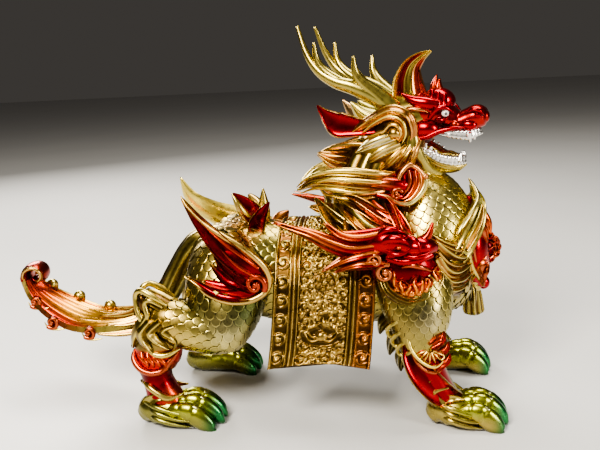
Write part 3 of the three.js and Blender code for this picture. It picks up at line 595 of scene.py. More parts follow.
TORSO = [
    [-30, 0, 86, 5, 6], [-24, 0, 83, 15, 14], [-8, 0, 77, 23, 23], [15, 0, 71, 24, 26],
    [45, 0, 69, 24, 26], [75, 0, 72, 26, 28], [97, 0, 78, 27, 30], [111, 0, 81, 20, 25],
    [118, 0, 81, 10, 15],
]
NECK = [
    [94, 0, 74, 25, 25], [94, 0, 90, 24, 25], [91, 0.5, 104, 20, 21], [86, 1.5, 117, 15, 14.5],
    [84, 2, 129, 12, 11], [84, 1, 141, 9, 9],
]


def body(piece, scales):
    """The trunk and the neck, with their coats of scales."""
    torso = sweep(piece, TORSO, 40, skin)
    scale_coat(scales, torso, 5.6, backwards=True)
    neck = sweep(piece, NECK, 40, skin)
    scale_coat(scales, neck, 4.9, backwards=True, base=mix(GOLD, PALE_GOLD, 0.8))


# Legs and feet

def foot_tints(middle_x, long, heel):
    """The heel's lacquer, leaf green over the knuckles, green at the claws, and deep green painted shade
    along the underside.
    """

    def tints(share, section, points):
        ahead = (points[..., 0] - middle_x) / long
        up = points[..., 2]
        colour = mix(heel, LEAF_GREEN, smooth(ahead, -6, 7) * smooth(up, 4.5, 11))
        colour = mix(colour, GREEN, smooth(ahead, 17, 27))
        # Painted shade: deep green towards the underside
        return mix(colour, DEEP_GREEN, smooth(-up, -4, 0) * 0.55)

    return tints


def foot(piece, x, side, share, heel):
    """A clawed foot whose ankle is at x: a broad heel, four long knuckled toes and their hooked claws."""
    tints = foot_tints(x, share, heel)

    def place(forward, outward, up):
        return [x + forward * share, side * (HALF_STANCE + outward), up]

    sweep(piece, [
        place(-13, 0, 4.5) + [5.0, 5], place(-9, 0, 7) + [8.0, 7.8], place(0, 0, 8) + [9.4, 8.6],
        place(9, 0, 6.4) + [10, 6.4], place(15, 0, 4.4) + [9, 4.4], place(20, 0, 2.4) + [8, 2.4],
    ], 30, tints, steps=6)
    for spread, reach, rise in ((-1, 0.0, -1.2), (-0.34, 1.6, 0.6), (0.34, 1.4, 0.4), (1, -1.2, -2.2)):

        def joint(forward, up, half, tall):
            ahead = forward + reach * min(forward / 12, 1)
            return place(ahead, spread * (6.0 + forward * 0.15), max(up + rise, 0.3)) + [half, tall]

        sweep(piece, [
            joint(-3, 7.0, 2.2, 3.0), joint(3, 10.2, 3.2, 4.2), joint(8.5, 11.6, 3.6, 4.6),
            joint(14, 11.0, 3.8, 5.4), joint(19, 8.2, 3.6, 5.4), joint(23.5, 4.8, 2.9, 4.4),
            joint(26.4, 2.0, 1.8, 2.4), joint(27.8, 0.3, 0.3, 0.5),
        ], 22, tints, steps=8, pointed=True, creases=(0.30, 0.47))
        # The sheath that each claw grows from, its leaf green paled with silver as a painted highlight
        # along the claw's ridge
        sheath = [joint(15, 14.6, 0, 0)[:3], joint(18.6, 13.4, 0, 0)[:3], joint(22.4, 9.4, 0, 0)[:3],
                  joint(26, 3.8, 0, 0)[:3]]
        lock(piece, sheath, 1.7, 1.3, mix(LEAF_GREEN, SILVER, 0.25), section=14, thin=(0.4, 0, 1),
             thin_end=(1, 0, 0.4), steps=6)
    # Folds of skin from the heel round the outside of the foot
    for n, (high, low) in enumerate(((12.6, 8.4), (9.6, 5.0), (6.6, 2.4))):
        fold = [place(-12 + n, 3, high), place(-4, 8.6 + 0.4 * n, high - 1),
                place(6, 9.8 + 0.3 * n, low + 0.6), place(15, 10.2, low - 0.6)]
        lock(piece, fold, 1.5, 1.5, tints, section=14, thin=(0, side, 0.5), steps=8)
    for inward in (-1, 1):
        flap = [place(-13, 2 * inward, 8), place(-9, 6 * inward, 14), place(-2, 7.6 * inward, 16.4),
                place(5, 5.6 * inward, 14.8)]
        lock(piece, flap, 2.4, 1.5, mix(GOLD, heel, 0.5), section=FINE_HOLLOW,
             thin=(0, inward * side, 0.3), steps=8)


def hock_face(piece, at, side, face):
    """One face of the lower leg: the tuft's rim, waves of hair, the sleeve's lip and the foot's band."""

    def on_face(path):
        return [at(x, face * out, z) for x, out, z in path]

    outward = (0, side * face, 0)
    # The tuft's turned rim round its hollow, a brown ball of painted shade
    ball(piece, at(-48.8, face * 5.6, 66), (2.0, 2.4, 4.8), BROWN)
    bead(piece, on_face([(-36, 7.4, 65.4), (-42.6, 7.4, 70), (-48.4, 6.2, 72.8), (-52, 4.6, 70.4),
                         (-52, 5.4, 64.8), (-49.8, 7.4, 59), (-47.6, 8.4, 54)]), 1.6,
         mix(GOLD, PALE_GOLD, 0.3), sides=12, taper=True)
    bead(piece, on_face([(-38, 8.4, 64.6), (-44, 8.2, 68.4), (-47, 7.6, 66.4), (-46, 8.4, 60.6),
                         (-46.6, 9.0, 55)]), 1.3, GOLD, sides=12, taper=True)
    # Waves of hair that hang over the sleeve, and their rolled edge
    wave = carved(mix(GOLD, PALE_GOLD, 0.2), mix(BROWN, GOLD, 0.2), GOLD, grooves=1)
    for path, half_width in (
        ([(-46.6, 7, 60), (-50.6, 7, 54), (-54.4, 5.4, 48), (-57, 2.6, 41.4)], 3.6),
        ([(-44.6, 8.8, 58), (-49.6, 8.8, 52.4), (-49.2, 8.8, 48), (-46.4, 9.4, 44),
          (-43.4, 9.2, 40.2)], 3.1),
        ([(-39, 9.8, 58), (-45.0, 10.2, 52.8), (-43.0, 10.6, 49), (-39.4, 10.4, 46),
          (-35.4, 9.4, 43.2)], 2.9),
        ([(-32, 9.8, 56), (-38.0, 10.2, 53.4), (-34.4, 10.4, 50.6), (-32.2, 9.6, 47.6),
          (-34.0, 8.6, 42.6)], 2.5),
    ):
        lock(piece, on_face(path), half_width, 2.8, wave, section=flame_section(1, 0.2, samples=20),
             thin=outward, steps=7)
    bead(piece, on_face([(-48, 8.8, 42.6), (-43, 9.6, 40.4), (-37.4, 9.2, 40.2), (-31.6, 6.4, 42.4)]),
         1.4, mix(GOLD, PALE_GOLD, 0.3), sides=12, taper=True)
    # The sleeve's turned lip, and a flame in relief inside it
    bead(piece, on_face([(-56.4, 2.4, 41), (-56.4, 5.0, 36.4), (-52.6, 7.8, 32.2), (-46.6, 9.0, 30.4),
                         (-40.8, 8.2, 31.6), (-37.2, 6.8, 36), (-33.2, 5.2, 40)]), 1.6,
         mix(RED, PINK_GOLD, 0.28), sides=14, taper=True)
    for n in range(4):
        x = -51.0 + 3.0 * n
        lock(piece, on_face([(x, 7.6, 41), (x + 0.8, 9.2, 38.2), (x + 2.8, 9.4, 36),
                             (x + 3.2, 8.9, 33.2)]), 1.3, 1.3, mix(RED, ORANGE, 0.5), section=12,
             thin=outward, steps=6)
    # The gold band over the foot
    bead(piece, on_face([(-54, 2.6, 23.4), (-49.4, 7.0, 22.4), (-44.3, 8.9, 19.4), (-39.2, 8.9, 16.8),
                         (-32.8, 6.4, 17.8)]), 1.6, GOLD, sides=12, taper=True)


def hind_leg(piece, scales, side):
    """A scaled thigh and shank, the tufted hock, the red sleeve round the cannon, and the foot."""
    ahead = HIND_STAGGER if side == LEFT else 0.0
    stance = HALF_STANCE * side

    def at(x, out, z):
        """A place on the lower leg, out millimetres outside its middle."""
        return [x + ahead, stance + side * out, z]

    thigh = sweep(piece, [
        [-8, side * 12, 91, 8, 9], [-9, side * 22, 84, 12, 17], [-8, side * 29, 71, 13, 20.5],
        [-8, stance * 0.94, 58, 13.5, 17], [-8, stance, 48, 12, 11.5], [-8, stance, 42, 7, 6.5],
    ], 36, skin)
    scale_coat(scales, thigh, 5.7)
    shank = sweep(piece, [
        [-3, stance, 46, 8, 7], [-12, stance, 48.5, 12, 10.5], [-26 + ahead / 2, stance, 52, 11.5, 12],
        [-41 + ahead, stance, 55, 10, 11.5], [-50 + ahead, stance, 57, 6, 7],
    ], 32, skin)
    scale_coat(scales, shank, 5.0, rows=(0.0, 0.76), keep=lambda p: p[2] > 47 or p[0] > -27)

    def shin(share, section, points):
        """Orange red in the sleeve, darker at its waist as painted shade, orange over the foot, and brown
        under the hair as painted shade.
        """
        x, z = points[..., 0] - ahead, points[..., 2]
        colour = mix(mix(RED, MAROON, 0.45), mix(RED, ORANGE, 0.1), smooth(z, 29, 35))
        colour = mix(colour, mix(RED, ORANGE, 0.35), smooth(x, -46, -38) * smooth(-z, -23, -17))
        # Painted shade: brown under the hair, and a dark band round the sleeve's waist
        colour = mix(colour, mix(BROWN, GOLD, 0.35), smooth(z, 40.5, 43))
        return colour * (0.45 + 0.55 * smooth(np.abs(z - 27), 0.5, 5))[..., None]

    sweep(piece, [
        at(-42, 0, 52) + [8.6, 9.6], at(-44.3, 0, 41) + [9.2, 12.2], at(-46.1, 0, 35) + [8.6, 11.2],
        at(-47.2, 0, 31) + [8.0, 9.4], at(-47, 0, 27.4) + [7.3, 8.1], at(-46.4, 0, 23.6) + [7.2, 7.9],
        at(-45.3, 0, 19.7) + [7.6, 8.3], at(-43.6, 0, 14) + [8, 9.4], at(-41, 0, 9) + [8, 9.5],
    ], 34, shin, steps=6)
    # The hock's tuft, rounded at its end, and the corner of hair under it
    hair = carved(GOLD, BROWN, mix(GOLD, PALE_GOLD, 0.5))
    sweep(piece, [
        at(-30, 0, 57) + [7, 6], at(-38, 0, 61) + [7.6, 6.8], at(-44, 0, 65) + [7.2, 6.4],
        at(-48.4, 0, 67.2) + [6, 5.2], at(-51, 0, 68) + [3.8, 3.4],
    ], both_faces(2, 0.2, samples=12), hair, steps=7)
    for path, half_width, half_thickness in (
        ([[-40, 0, 50], [-48, 0, 52], [-50.6, 0, 55], [-52.4, 0, 59]], 5.5, 6),
        ([[-42, 0, 48], [-50, 0, 47.6], [-55, 0, 45], [-58.4, 0, 41]], 5.0, 6.5),
        ([[-44, 0, 20], [-50, 0, 20], [-56, 0, 23]], 3, 4),
    ):
        lock(piece, [at(*point) for point in path], half_width, half_thickness, hair,
             section=both_faces(2, 0.26, samples=12))
    for face in (1, -1):
        hock_face(piece, at, side, face)
    foot(piece, -42 + ahead, side, 1.0, mix(mix(GOLD, OLIVE, 0.6), GREEN, 0.22))


def fore_leg(piece, scales, side):
    """A scaled foreleg with its greave, the fan under the knee, the fringe behind it, and the foot."""
    stance = HALF_STANCE * side
    facing = (0, side, 0)

    def at(x, out, z):
        return [x, stance + side * out, z]

    leg = sweep(piece, [
        [83, side * 22, 82, 12, 15], [85, side * 29, 70, 13, 18], [86.5, stance * 0.97, 56, 12.5, 15.5],
        [86.5, stance, 44, 10.3, 11], [89, stance, 33, 8.8, 9], [93.5, stance, 23, 7.8, 8],
        [98.5, stance, 13, 7.6, 8], [103, stance, 6, 8, 9],
    ], 36, skin)
    scale_coat(scales, leg, 4.6, rows=(0.0, 0.62), keep=lambda p: p[2] > 37 + 0.8 * abs(p[0] - 90.5))
    # The greave: a red blade down each side of the shin, and a bent plate between them
    sweep(piece, [
        at(87, 0, 45) + [8.6, 8.4], at(88.4, 1.2, 38) + [8.6, 8.2], at(91.5, 1.4, 30) + [8.4, 7.4],
        at(95, 1.2, 23) + [7.8, 6.4], at(98.4, 0.8, 17) + [7.2, 5.8], at(101, 0, 12) + [7, 5.6],
    ], 32, mix(RED, MAROON, 0.25), steps=7, thin=facing)
    red = rimmed(GOLD, RED, MAROON, edge=0.87, tip=GOLD, tip_from=0.9)
    lock(piece, [at(103, 2, 13), at(96.5, 7, 19), at(90, 9.2, 26.5), at(84.5, 9.4, 34), at(81, 7.8, 41),
                 at(79.6, 5.5, 49)], 6.9, 3.4, red, section=FINE_HOLLOW, thin=(0.15, side, 0.1), steps=8)
    # The rims round the scaled knee, and the fan of flames under it
    bead(piece, [at(81.8, 7.4, 54), at(81.2, 9.4, 48), at(83.6, 10.8, 41), at(88.4, 11.2, 36),
                 at(93.6, 10.6, 34), at(97.4, 8.6, 37), at(98.6, 6.4, 43)], 0.9, PALE_GOLD, steps=8,
         taper=True)
    bead(piece, [at(82.2, 8.6, 44), at(84.6, 10.2, 37), at(89.6, 10.8, 32), at(95, 9.8, 31),
                 at(98, 8, 34)], 0.8, mix(RED, PINK_GOLD, 0.4), taper=True)
    for n in range(7):
        turn = math.radians(-158 + 22 * n)
        x, z = math.cos(turn), math.sin(turn)
        reaches = enumerate((2.0, 4.6, 7.8))
        ray = [at(91.4 + reach * x, 9.6 + 0.4 * step, 43 + reach * z) for step, reach in reaches]
        lock(piece, ray, 1.7, 1.6, carved(mix(PALE_GOLD, ORANGE, 0.3), RED, grooves=1),
             section=flame_section(1, 0.2, samples=16), thin=facing, steps=6)
    for n, (x, z) in enumerate(((97.5, 49), (99.4, 43.5), (100, 37.5))):
        lock(piece, [at(91.5 + n, 9, z - 5), at(95.5 + n * 0.6, 8.4, z - 2.5), at(x - 0.5, 6.8, z - 1),
                     at(x + 0.8, 5, z + 1.2)], 2.0, 2.4, mix(RED, ORANGE, 0.3), section=FINE_HOLLOW,
             thin=(0.4, side, 0), steps=6)
    # The fringe behind the leg, with painted shade between the gold lines of its curls
    hair = carved(mix(GOLD, OLIVE, 0.4), mix(BROWN, DEEP_GREEN, 0.4), GOLD, grooves=2)
    for path, half_width, half_thickness in (
        ([[84, 2, 55], [75, 2, 55], [70, 2, 52], [67.5, 2, 46]], 5, 5),
        ([[84, 2, 47], [77, 2, 45], [74, 2, 41], [72, 2, 35]], 5, 5.5),
        ([[86, 2, 38], [80, 2, 36], [78, 2, 32], [77.5, 2, 26.5]], 4.6, 5.5),
        ([[87.4, 2, 29], [84.6, 2, 27.6], [83.6, 2, 24.4], [83.6, 2, 19]], 4.2, 5.5),
        ([[92.4, 2, 20], [90.6, 2, 19], [89.8, 2, 16], [89.6, 2, 11.6]], 3.4, 4.6),
    ):
        lock(piece, [[x, y + stance, z] for x, y, z in path], half_width, half_thickness, hair,
             section=both_faces(2, 0.24, samples=12))
    for n in range(8):
        z = 56 - 5.0 * n
        x = 76.4 + 0.36 * (56 - z) + 0.005 * (56 - z) ** 2
        size = 1 - 0.05 * n
        curl = [(x + 5, 8.0, z + 1), (x - 1, 8.2, z - 0.4), (x - 4.6 * size, 7, z - 3.6),
                (x - 4.4 * size, 5.6, z - 7.4 * size), (x - 1.8 * size, 6.2, z - 8.8 * size),
                (x - 0.6, 7, z - 6.6 * size)]
        for face in (1, -1):
            bead(piece, [at(px, face * out, pz) for px, out, pz in curl], 1.05, mix(GOLD, OLIVE, 0.2),
                 sides=8, steps=4, taper=True)
    foot(piece, 104, side, 0.84, mix(GOLD, OLIVE, 0.35))


# Tail

PLUME = [
    [-58, 0, 45, 8, 8], [-70, 0, 42, 6, 12.5], [-84, 1, 41, 5.4, 17.5], [-98, 2, 43, 5, 19.5],
    [-112, 2.5, 50, 4.6, 17.5], [-124, 3, 59, 4.2, 12], [-130, 3, 69, 3.6, 7],
]
PLUME_VEINS = 30  # radians of the veins' wave across half the leaf's width


def plume_section():
    """The leaf's section: arched, veined along its upper face, with thin turned-up edges."""
    b = np.linspace(-1, 1, 61)
    veins = 0.13 * np.cos(b * PLUME_VEINS) * (1 - b**8)
    edge = 0.35 * smooth(np.abs(b), 0.86, 0.95) - 0.6 * smooth(np.abs(b), 0.965, 1.0)
    upper = 0.35 + 0.35 * (1 - b**2) + edge + veins
    lower_b = np.linspace(1, -1, 25)[1:-1]
    lower = -0.7 * (1 - np.abs(lower_b) ** 3) + 0.1
    return np.concatenate([np.column_stack([upper, b]), np.column_stack([lower, lower_b])])


def plume_tints(share, section, points):
    """Gold brown at the root, orange and yellow along the middle, red at the tip and the near edge."""
    a, b = section[..., 0], section[..., 1]
    veins = 0.5 + 0.5 * np.cos(b * PLUME_VEINS + 2.5 * share)
    near = smooth(-points[..., 1], 2, 16)
    glow = smooth(share + 0.36 * near, 0.48, 0.84)
    warm = mix(mix(GOLD, COPPER, 0.3), mix(AMBER, GOLD, 0.25), smooth(share, 0.12, 0.4))
    top = mix(warm, mix(RED, ORANGE, 0.35), glow)
    low = mix(mix(COPPER, ORANGE, 0.4), mix(RED, MAROON, 0.25), glow)
    edge = mix(mix(GOLD, PALE_GOLD, 0.4), mix(RED, PINK_GOLD, 0.4), near * smooth(share, 0.3, 0.6))
    colour = mix(mix(low, top, veins), edge, smooth(np.abs(b), 0.9, 0.95))
    under = mix(mix(COPPER, GOLD, 0.4), RED, glow)
    return np.where(a[..., None] < 0, under, colour)


def edge_scroll(piece, x, y, z, size):
    """A scroll on the plume's near edge: a dark red disc of painted shade in its hollow, its turned bar,
    and a gold line beside it.
    """
    ball(piece, (x, y + 1.4, z), (size * 0.85, 1.4, size * 0.85), MAROON, rings=10, sides=20)
    scroll(piece, (x, y, z), size, 1.25, RIGHT, mix(RED, PINK_GOLD, 0.35), start=-2.4, turns=1.15)
    line = [[x + size * 1.9, y + 0.6, z - size * 1.05], [x + size * 0.7, y + 0.2, z - size * 1.15],
            [x - size * 0.6, y + 0.2, z - size * 0.95], [x - size * 1.2, y + 0.4, z - size * 0.1]]
    bead(piece, line, 0.7, PALE_GOLD, steps=7, taper=True)


def tail(piece):
    """A twisted stem that carries the broad veined leaf, its tongues, its scrolls and its curled tip."""
    sweep(piece, [
        [-14, 0, 86, 7, 8], [-25, 0, 88, 6.5, 7.5], [-33, 0, 82, 6.2, 7], [-41, 0, 70, 6, 7],
        [-49, 0, 58, 6, 7], [-62, 0, 46, 8, 8],
    ], twisted(72, 9, 0.07, 5), twisted_tints(mix(BROWN, OLIVE, 0.4), mix(GOLD, OLIVE, 0.35), 9, 5),
          steps=10)
    sweep(piece, PLUME, plume_section(), plume_tints, steps=10, thin=(0, 0, 1), thin_end=(1, 0, 0.5))
    # Long tongues that run from the stem out over the plume
    for path, half_width in (
        ([[-48, -4, 56], [-58, -8, 48.6], [-68, -11, 45.4], [-80, -13, 45.2]], 3.0),
        ([[-50, 0, 58], [-60, -1, 52.4], [-72, -2, 47.6], [-88, -2, 46.6]], 3.2),
        ([[-48, 4, 57], [-58, 8, 51], [-70, 11, 47], [-84, 12, 47]], 3.0),
        ([[-52, -6, 48], [-62, -11, 42], [-73, -14, 40.6], [-84, -16.4, 41.4]], 2.4),
    ):
        lock(piece, path, half_width, 2.0, carved(GOLD, COPPER, PALE_GOLD, grooves=1),
             section=flame_section(1, 0.3, samples=22), thin=(0, -0.2, 1), steps=8)
    # The plume's tip, rolled into a curl with a gold line along it
    f = np.linspace(0, 1, 40)
    turn = math.pi * (1.1 - 1.9 * f)
    reach = 6.4 * (1 - 0.66 * f)
    x, y, z = -122.5 + reach * np.cos(turn), np.full(40, 3.0), 70 + reach * np.sin(turn)
    across = 8 * (1 - 0.45 * f)
    sweep(piece, np.column_stack([x, y, z, across, 2.4 * (1 - 0.35 * f)]), 26,
          graded(mix(RED, COPPER, 0.2), MAROON, 0.45, 1.0), steps=1)
    line = np.column_stack([x, y - across + 0.6, z])[::6]
    bead(piece, line, 1.0, mix(GOLD, PINK_GOLD, 0.5), steps=6, taper=True)
    for x, y, z, size in ((-87.9, -17.2, 42.7, 3.6), (-108.3, -16.4, 48.6, 3.8),
                          (-119.4, -10.4, 58.1, 3.6)):
        edge_scroll(piece, x, y, z, size)
    for x, y, z in ((-120.5, 14.6, 60.2), (-107.2, 19.6, 51.4), (-88.8, 18.4, 45.7)):
        ball(piece, (x, y, z), (3.5, 3.3, 3.5), mix(GOLD, PALE_GOLD, 0.4), rings=14, sides=22)
        scroll(piece, (x, y - 1, z), 3.9, 1.1, LEFT, mix(GOLD, COPPER, 0.3), start=-2.2, turns=1.0)


# Saddle cloth

CLOTH_LINE = [[0, 98], [15, 95.5], [27, 87], [33.5, 74], [36.5, 60], [39, 46], [43.5, CLOTH_DROP]]
CLOTH_START = 18.0  # where the cloth's rear edge crosses the back
CLOTH_STEP = 0.32
FAR_CLOTH_STEP = 0.66  # the flap that the photo doesn't show has a coarser mesh
LINING_COLUMNS = 9
PANEL_EDGE = BORDER_WIDTH + 5.4
# The border's rims, as distance in from the cloth's edge, half width and height
BORDER_RIMS = ((0.8, 1.1, 1.2), (BORDER_WIDTH, 0.9, 0.9), (BORDER_WIDTH + 2.1, 1.5, 1.25),
               (BORDER_WIDTH + 4.4, 0.9, 0.9))
BORDER_SCROLL = 4.4  # from the cloth's edge to the middles of the border's scrolls
CLOUD_PITCH = 6.6  # between rows of scrolls in the panel


def cloth_line(share):
    """How far out and how high the cloth hangs at these shares down one flap."""
    return spline(CLOTH_LINE, share * (len(CLOTH_LINE) - 1))


def cloth_lengths(step):
    """Shares down one flap at even steps, with the distance in millimetres at each."""
    share = np.linspace(0, 1, 600)
    run = np.concatenate([[0], np.cumsum(np.linalg.norm(np.diff(cloth_line(share), axis=0), axis=1))])
    down = np.linspace(0, run[-1], int(run[-1] / step))
    return np.interp(down, run, share), down


def spiral_ridge(x, y, spacing, reach, wind, start, squared=False):
    """How near points are to a spiral about the origin: 1 on its arm and its knob, 0 between its arms.

    A squared scroll has a corner at its upper outer side.
    """
    r = np.hypot(x, y)
    if squared:
        r = np.where((x < 0) & (y < 0), (x**4 + y**4) ** 0.25, r)
    turn = (wind * np.arctan2(y, x) + start) / (2 * math.pi)
    off = np.abs(r / spacing - turn - np.round(r / spacing - turn))
    arm = smooth(0.5 + 0.5 * np.cos(2 * math.pi * off), 0.12, 0.95)
    knob = np.sqrt(np.clip(1 - (r / (spacing * 0.46)) ** 2, 0, 1))
    return np.maximum(arm * (1 - smooth(r, reach - 0.9, reach)), knob)


def line_ridge(inward, middle, half):
    """A rounded ridge that runs down the cloth."""
    return 0.5 + 0.5 * np.cos(math.pi * np.clip((inward - middle) / half, -1, 1))


def bump(x, y, long, wide, turn):
    """A rounded bud or leaf."""
    u = x * math.cos(turn) + y * math.sin(turn)
    v = -x * math.sin(turn) + y * math.cos(turn)
    return np.clip(1 - (u / long) ** 2 - (v / wide) ** 2, 0, 1) ** 0.75


def border_relief(inward, along):
    """The squared scrolls along one edge of the cloth, and the rims beside them."""
    rims = [height * line_ridge(inward, middle, half) for middle, half, height in BORDER_RIMS]
    cell = along / BORDER_PITCH
    y = (cell - np.round(cell)) * BORDER_PITCH
    scrolls = 1.05 * spiral_ridge(inward - BORDER_SCROLL, y, 2.7, 3.6, 1, 0.6, squared=True)
    return np.maximum.reduce([*rims, scrolls])


def cloth_relief(s, t, down):
    """Height of the relief, in millimetres, at s along the cloth and t down a flap that is down long."""
    height = np.zeros_like(s)
    for edge, way in ((0.0, 1.0), (CLOTH_LENGTH, -1.0)):
        inward = (s - edge) * way
        near = 1 - smooth(inward, PANEL_EDGE - 0.2, PANEL_EDGE)
        height = np.maximum(height, border_relief(inward, t - down + 5.0) * near)
    left, right = PANEL_EDGE, CLOTH_LENGTH - PANEL_EDGE
    inside = (s > left) & (s < right)
    middle = (left + right) / 2
    flowers = np.zeros_like(s)
    chance = random.Random(7)
    # Cloud scrolls and leaves that fill the panel
    for row in range(int(down / CLOUD_PITCH)):
        for column in range(4):
            x0 = left + 2.4 + column * (right - left - 4.8) / 3 + chance.uniform(-0.9, 0.9)
            x0 += (row % 2) * 1.2
            y0 = 4.5 + row * CLOUD_PITCH + chance.uniform(-0.9, 0.9)
            wind = chance.choice((-1, 1))
            start = chance.uniform(0, 6)
            size = chance.uniform(2.8, 3.6)
            flowers = np.maximum(flowers, 1.05 * spiral_ridge(s - x0, t - y0, 2.3, size, wind, start))
            for leaf in range(4):
                angle = start + leaf * 1.6
                reach = size + 0.5
                leaf_x = s - x0 - reach * math.cos(angle)
                leaf_y = t - y0 - reach * math.sin(angle)
                flowers = np.maximum(flowers, 1.2 * bump(leaf_x, leaf_y, 2.1, 1.3, angle + 0.9))
    # An open blossom in the middle of the flap, with petals round a knob
    x, y = s - middle, t - down * 0.52
    r, angle = np.hypot(x, y), np.arctan2(y, x)
    petal = line_ridge(r, 3.2, 1.9) * (0.55 + 0.45 * np.cos(7 * angle))
    clear = 1 - smooth(r, 4.6, 5.8)
    blossom = np.maximum(1.35 * petal, 1.5 * np.sqrt(np.clip(1 - (r / 1.6) ** 2, 0, 1)))
    flowers = flowers * (1 - clear) + blossom * clear
    # A ball between two spread wings, near the lower edge
    y = t - down + 15.0
    r = np.hypot(x, y)
    sag = y - 2.6 + 0.062 * x**2 + 1.2 * np.cos(x * 0.62)
    wing = 1.5 * line_ridge(sag, 0.0, 1.5) * (1 - smooth(np.abs(x), 9.5, 10.6))
    feather = 1.1 * line_ridge(sag, -2.4, 1.1) * (1 - smooth(np.abs(x), 7.0, 8.6))
    curls = np.maximum(
        spiral_ridge(x - 8.6, y + 3.0, 2.2, 2.9, 1, 1.0),
        spiral_ridge(x + 8.6, y + 3.0, 2.2, 2.9, -1, 1.0 + math.pi))
    clear = 1 - smooth(np.hypot(x / 11.5, (y - 0.5) / 5.6), 0.8, 1.0)
    figure = np.maximum(np.maximum(wing, feather), 1.2 * curls)
    figure = np.maximum(figure, 2.0 * np.sqrt(np.clip(1 - (r / 2.9) ** 2, 0, 1)))
    flowers = flowers * (1 - clear) + figure * clear
    return np.where(inside, flowers, height)


def saddle_cloth(piece):
    """The cloth over the back: its face in relief from flap to flap, and a plain lining."""
    near_shares, near_down = cloth_lengths(CLOTH_STEP)
    far_shares, far_down = cloth_lengths(FAR_CLOTH_STEP)
    total = near_down[-1]
    across = np.concatenate([-near_shares[:0:-1], far_shares])
    columns = int(CLOTH_LENGTH / CLOTH_STEP)
    s, t = np.meshgrid(np.linspace(0, CLOTH_LENGTH, columns),
                       np.concatenate([near_down[:0:-1], far_down]))
    height = cloth_relief(s, t, total)

    def face(lift, along):
        """Points over the cloth's line, lifted off its face."""
        share = np.abs(across)[:, None] * np.ones_like(along)
        side = np.where(across < 0, -1.0, 1.0)[:, None]
        line = cloth_line(share)
        slope = cloth_line(np.minimum(share + 0.01, 1)) - cloth_line(np.maximum(share - 0.01, 0))
        normal = unit(np.stack([-slope[..., 1], slope[..., 0]], axis=-1))
        bow = (2 * along - 1) ** 2
        flare = 1.8 * share**2 * bow
        arch = 2.2 * share**8 * (1 - bow)
        x = CLOTH_START - 5.5 * share**2 + along * CLOTH_LENGTH
        y = side * (line[..., 0] + normal[..., 0] * lift + flare)
        return np.stack([x, y, line[..., 1] + normal[..., 1] * lift + arch], axis=-1)

    rows = len(across)
    outer = face(height, s / CLOTH_LENGTH)
    lining = np.linspace(1, 0, LINING_COLUMNS)
    inner = face(-CLOTH_THICKNESS, np.broadcast_to(lining, (rows, LINING_COLUMNS)))
    ring = np.concatenate([outer, inner], axis=1)
    # Bright on the relief and painted shade in its ground, warmer near the back, and copper along the
    # front border, which is orange lacquer darkened as painted shade where the border turns away
    raised = smooth(height, 0.1, 0.8)
    warm = 0.5 * smooth(t, total * 0.55, total * 0.15)
    bright = mix(mix(mix(GOLD, OLIVE, 0.65), COPPER, 0.35), mix(GOLD, PALE_GOLD, 0.4), warm)
    ground = mix(mix(BROWN, OLIVE, 0.1), COPPER, warm)
    copper = mix(COPPER, ORANGE, 0.25) * (0.3 + 0.7 * raised[..., None])
    front = 0.6 * smooth(s, CLOTH_LENGTH - BORDER_WIDTH - 1.5, CLOTH_LENGTH - BORDER_WIDTH)
    metal = mix(mix(ground, bright, raised), copper, front)
    tints = np.concatenate([metal, np.broadcast_to(BROWN, inner.shape)], axis=1)
    width = columns + LINING_COLUMNS
    faces = grid_faces(rows, width)
    faces.append(tuple(range(width)))
    faces.append(tuple(reversed(range((rows - 1) * width, rows * width))))
    piece.add(ring.reshape(-1, 3), tints.reshape(-1, 3), faces)


# Flames on the hips and along the back

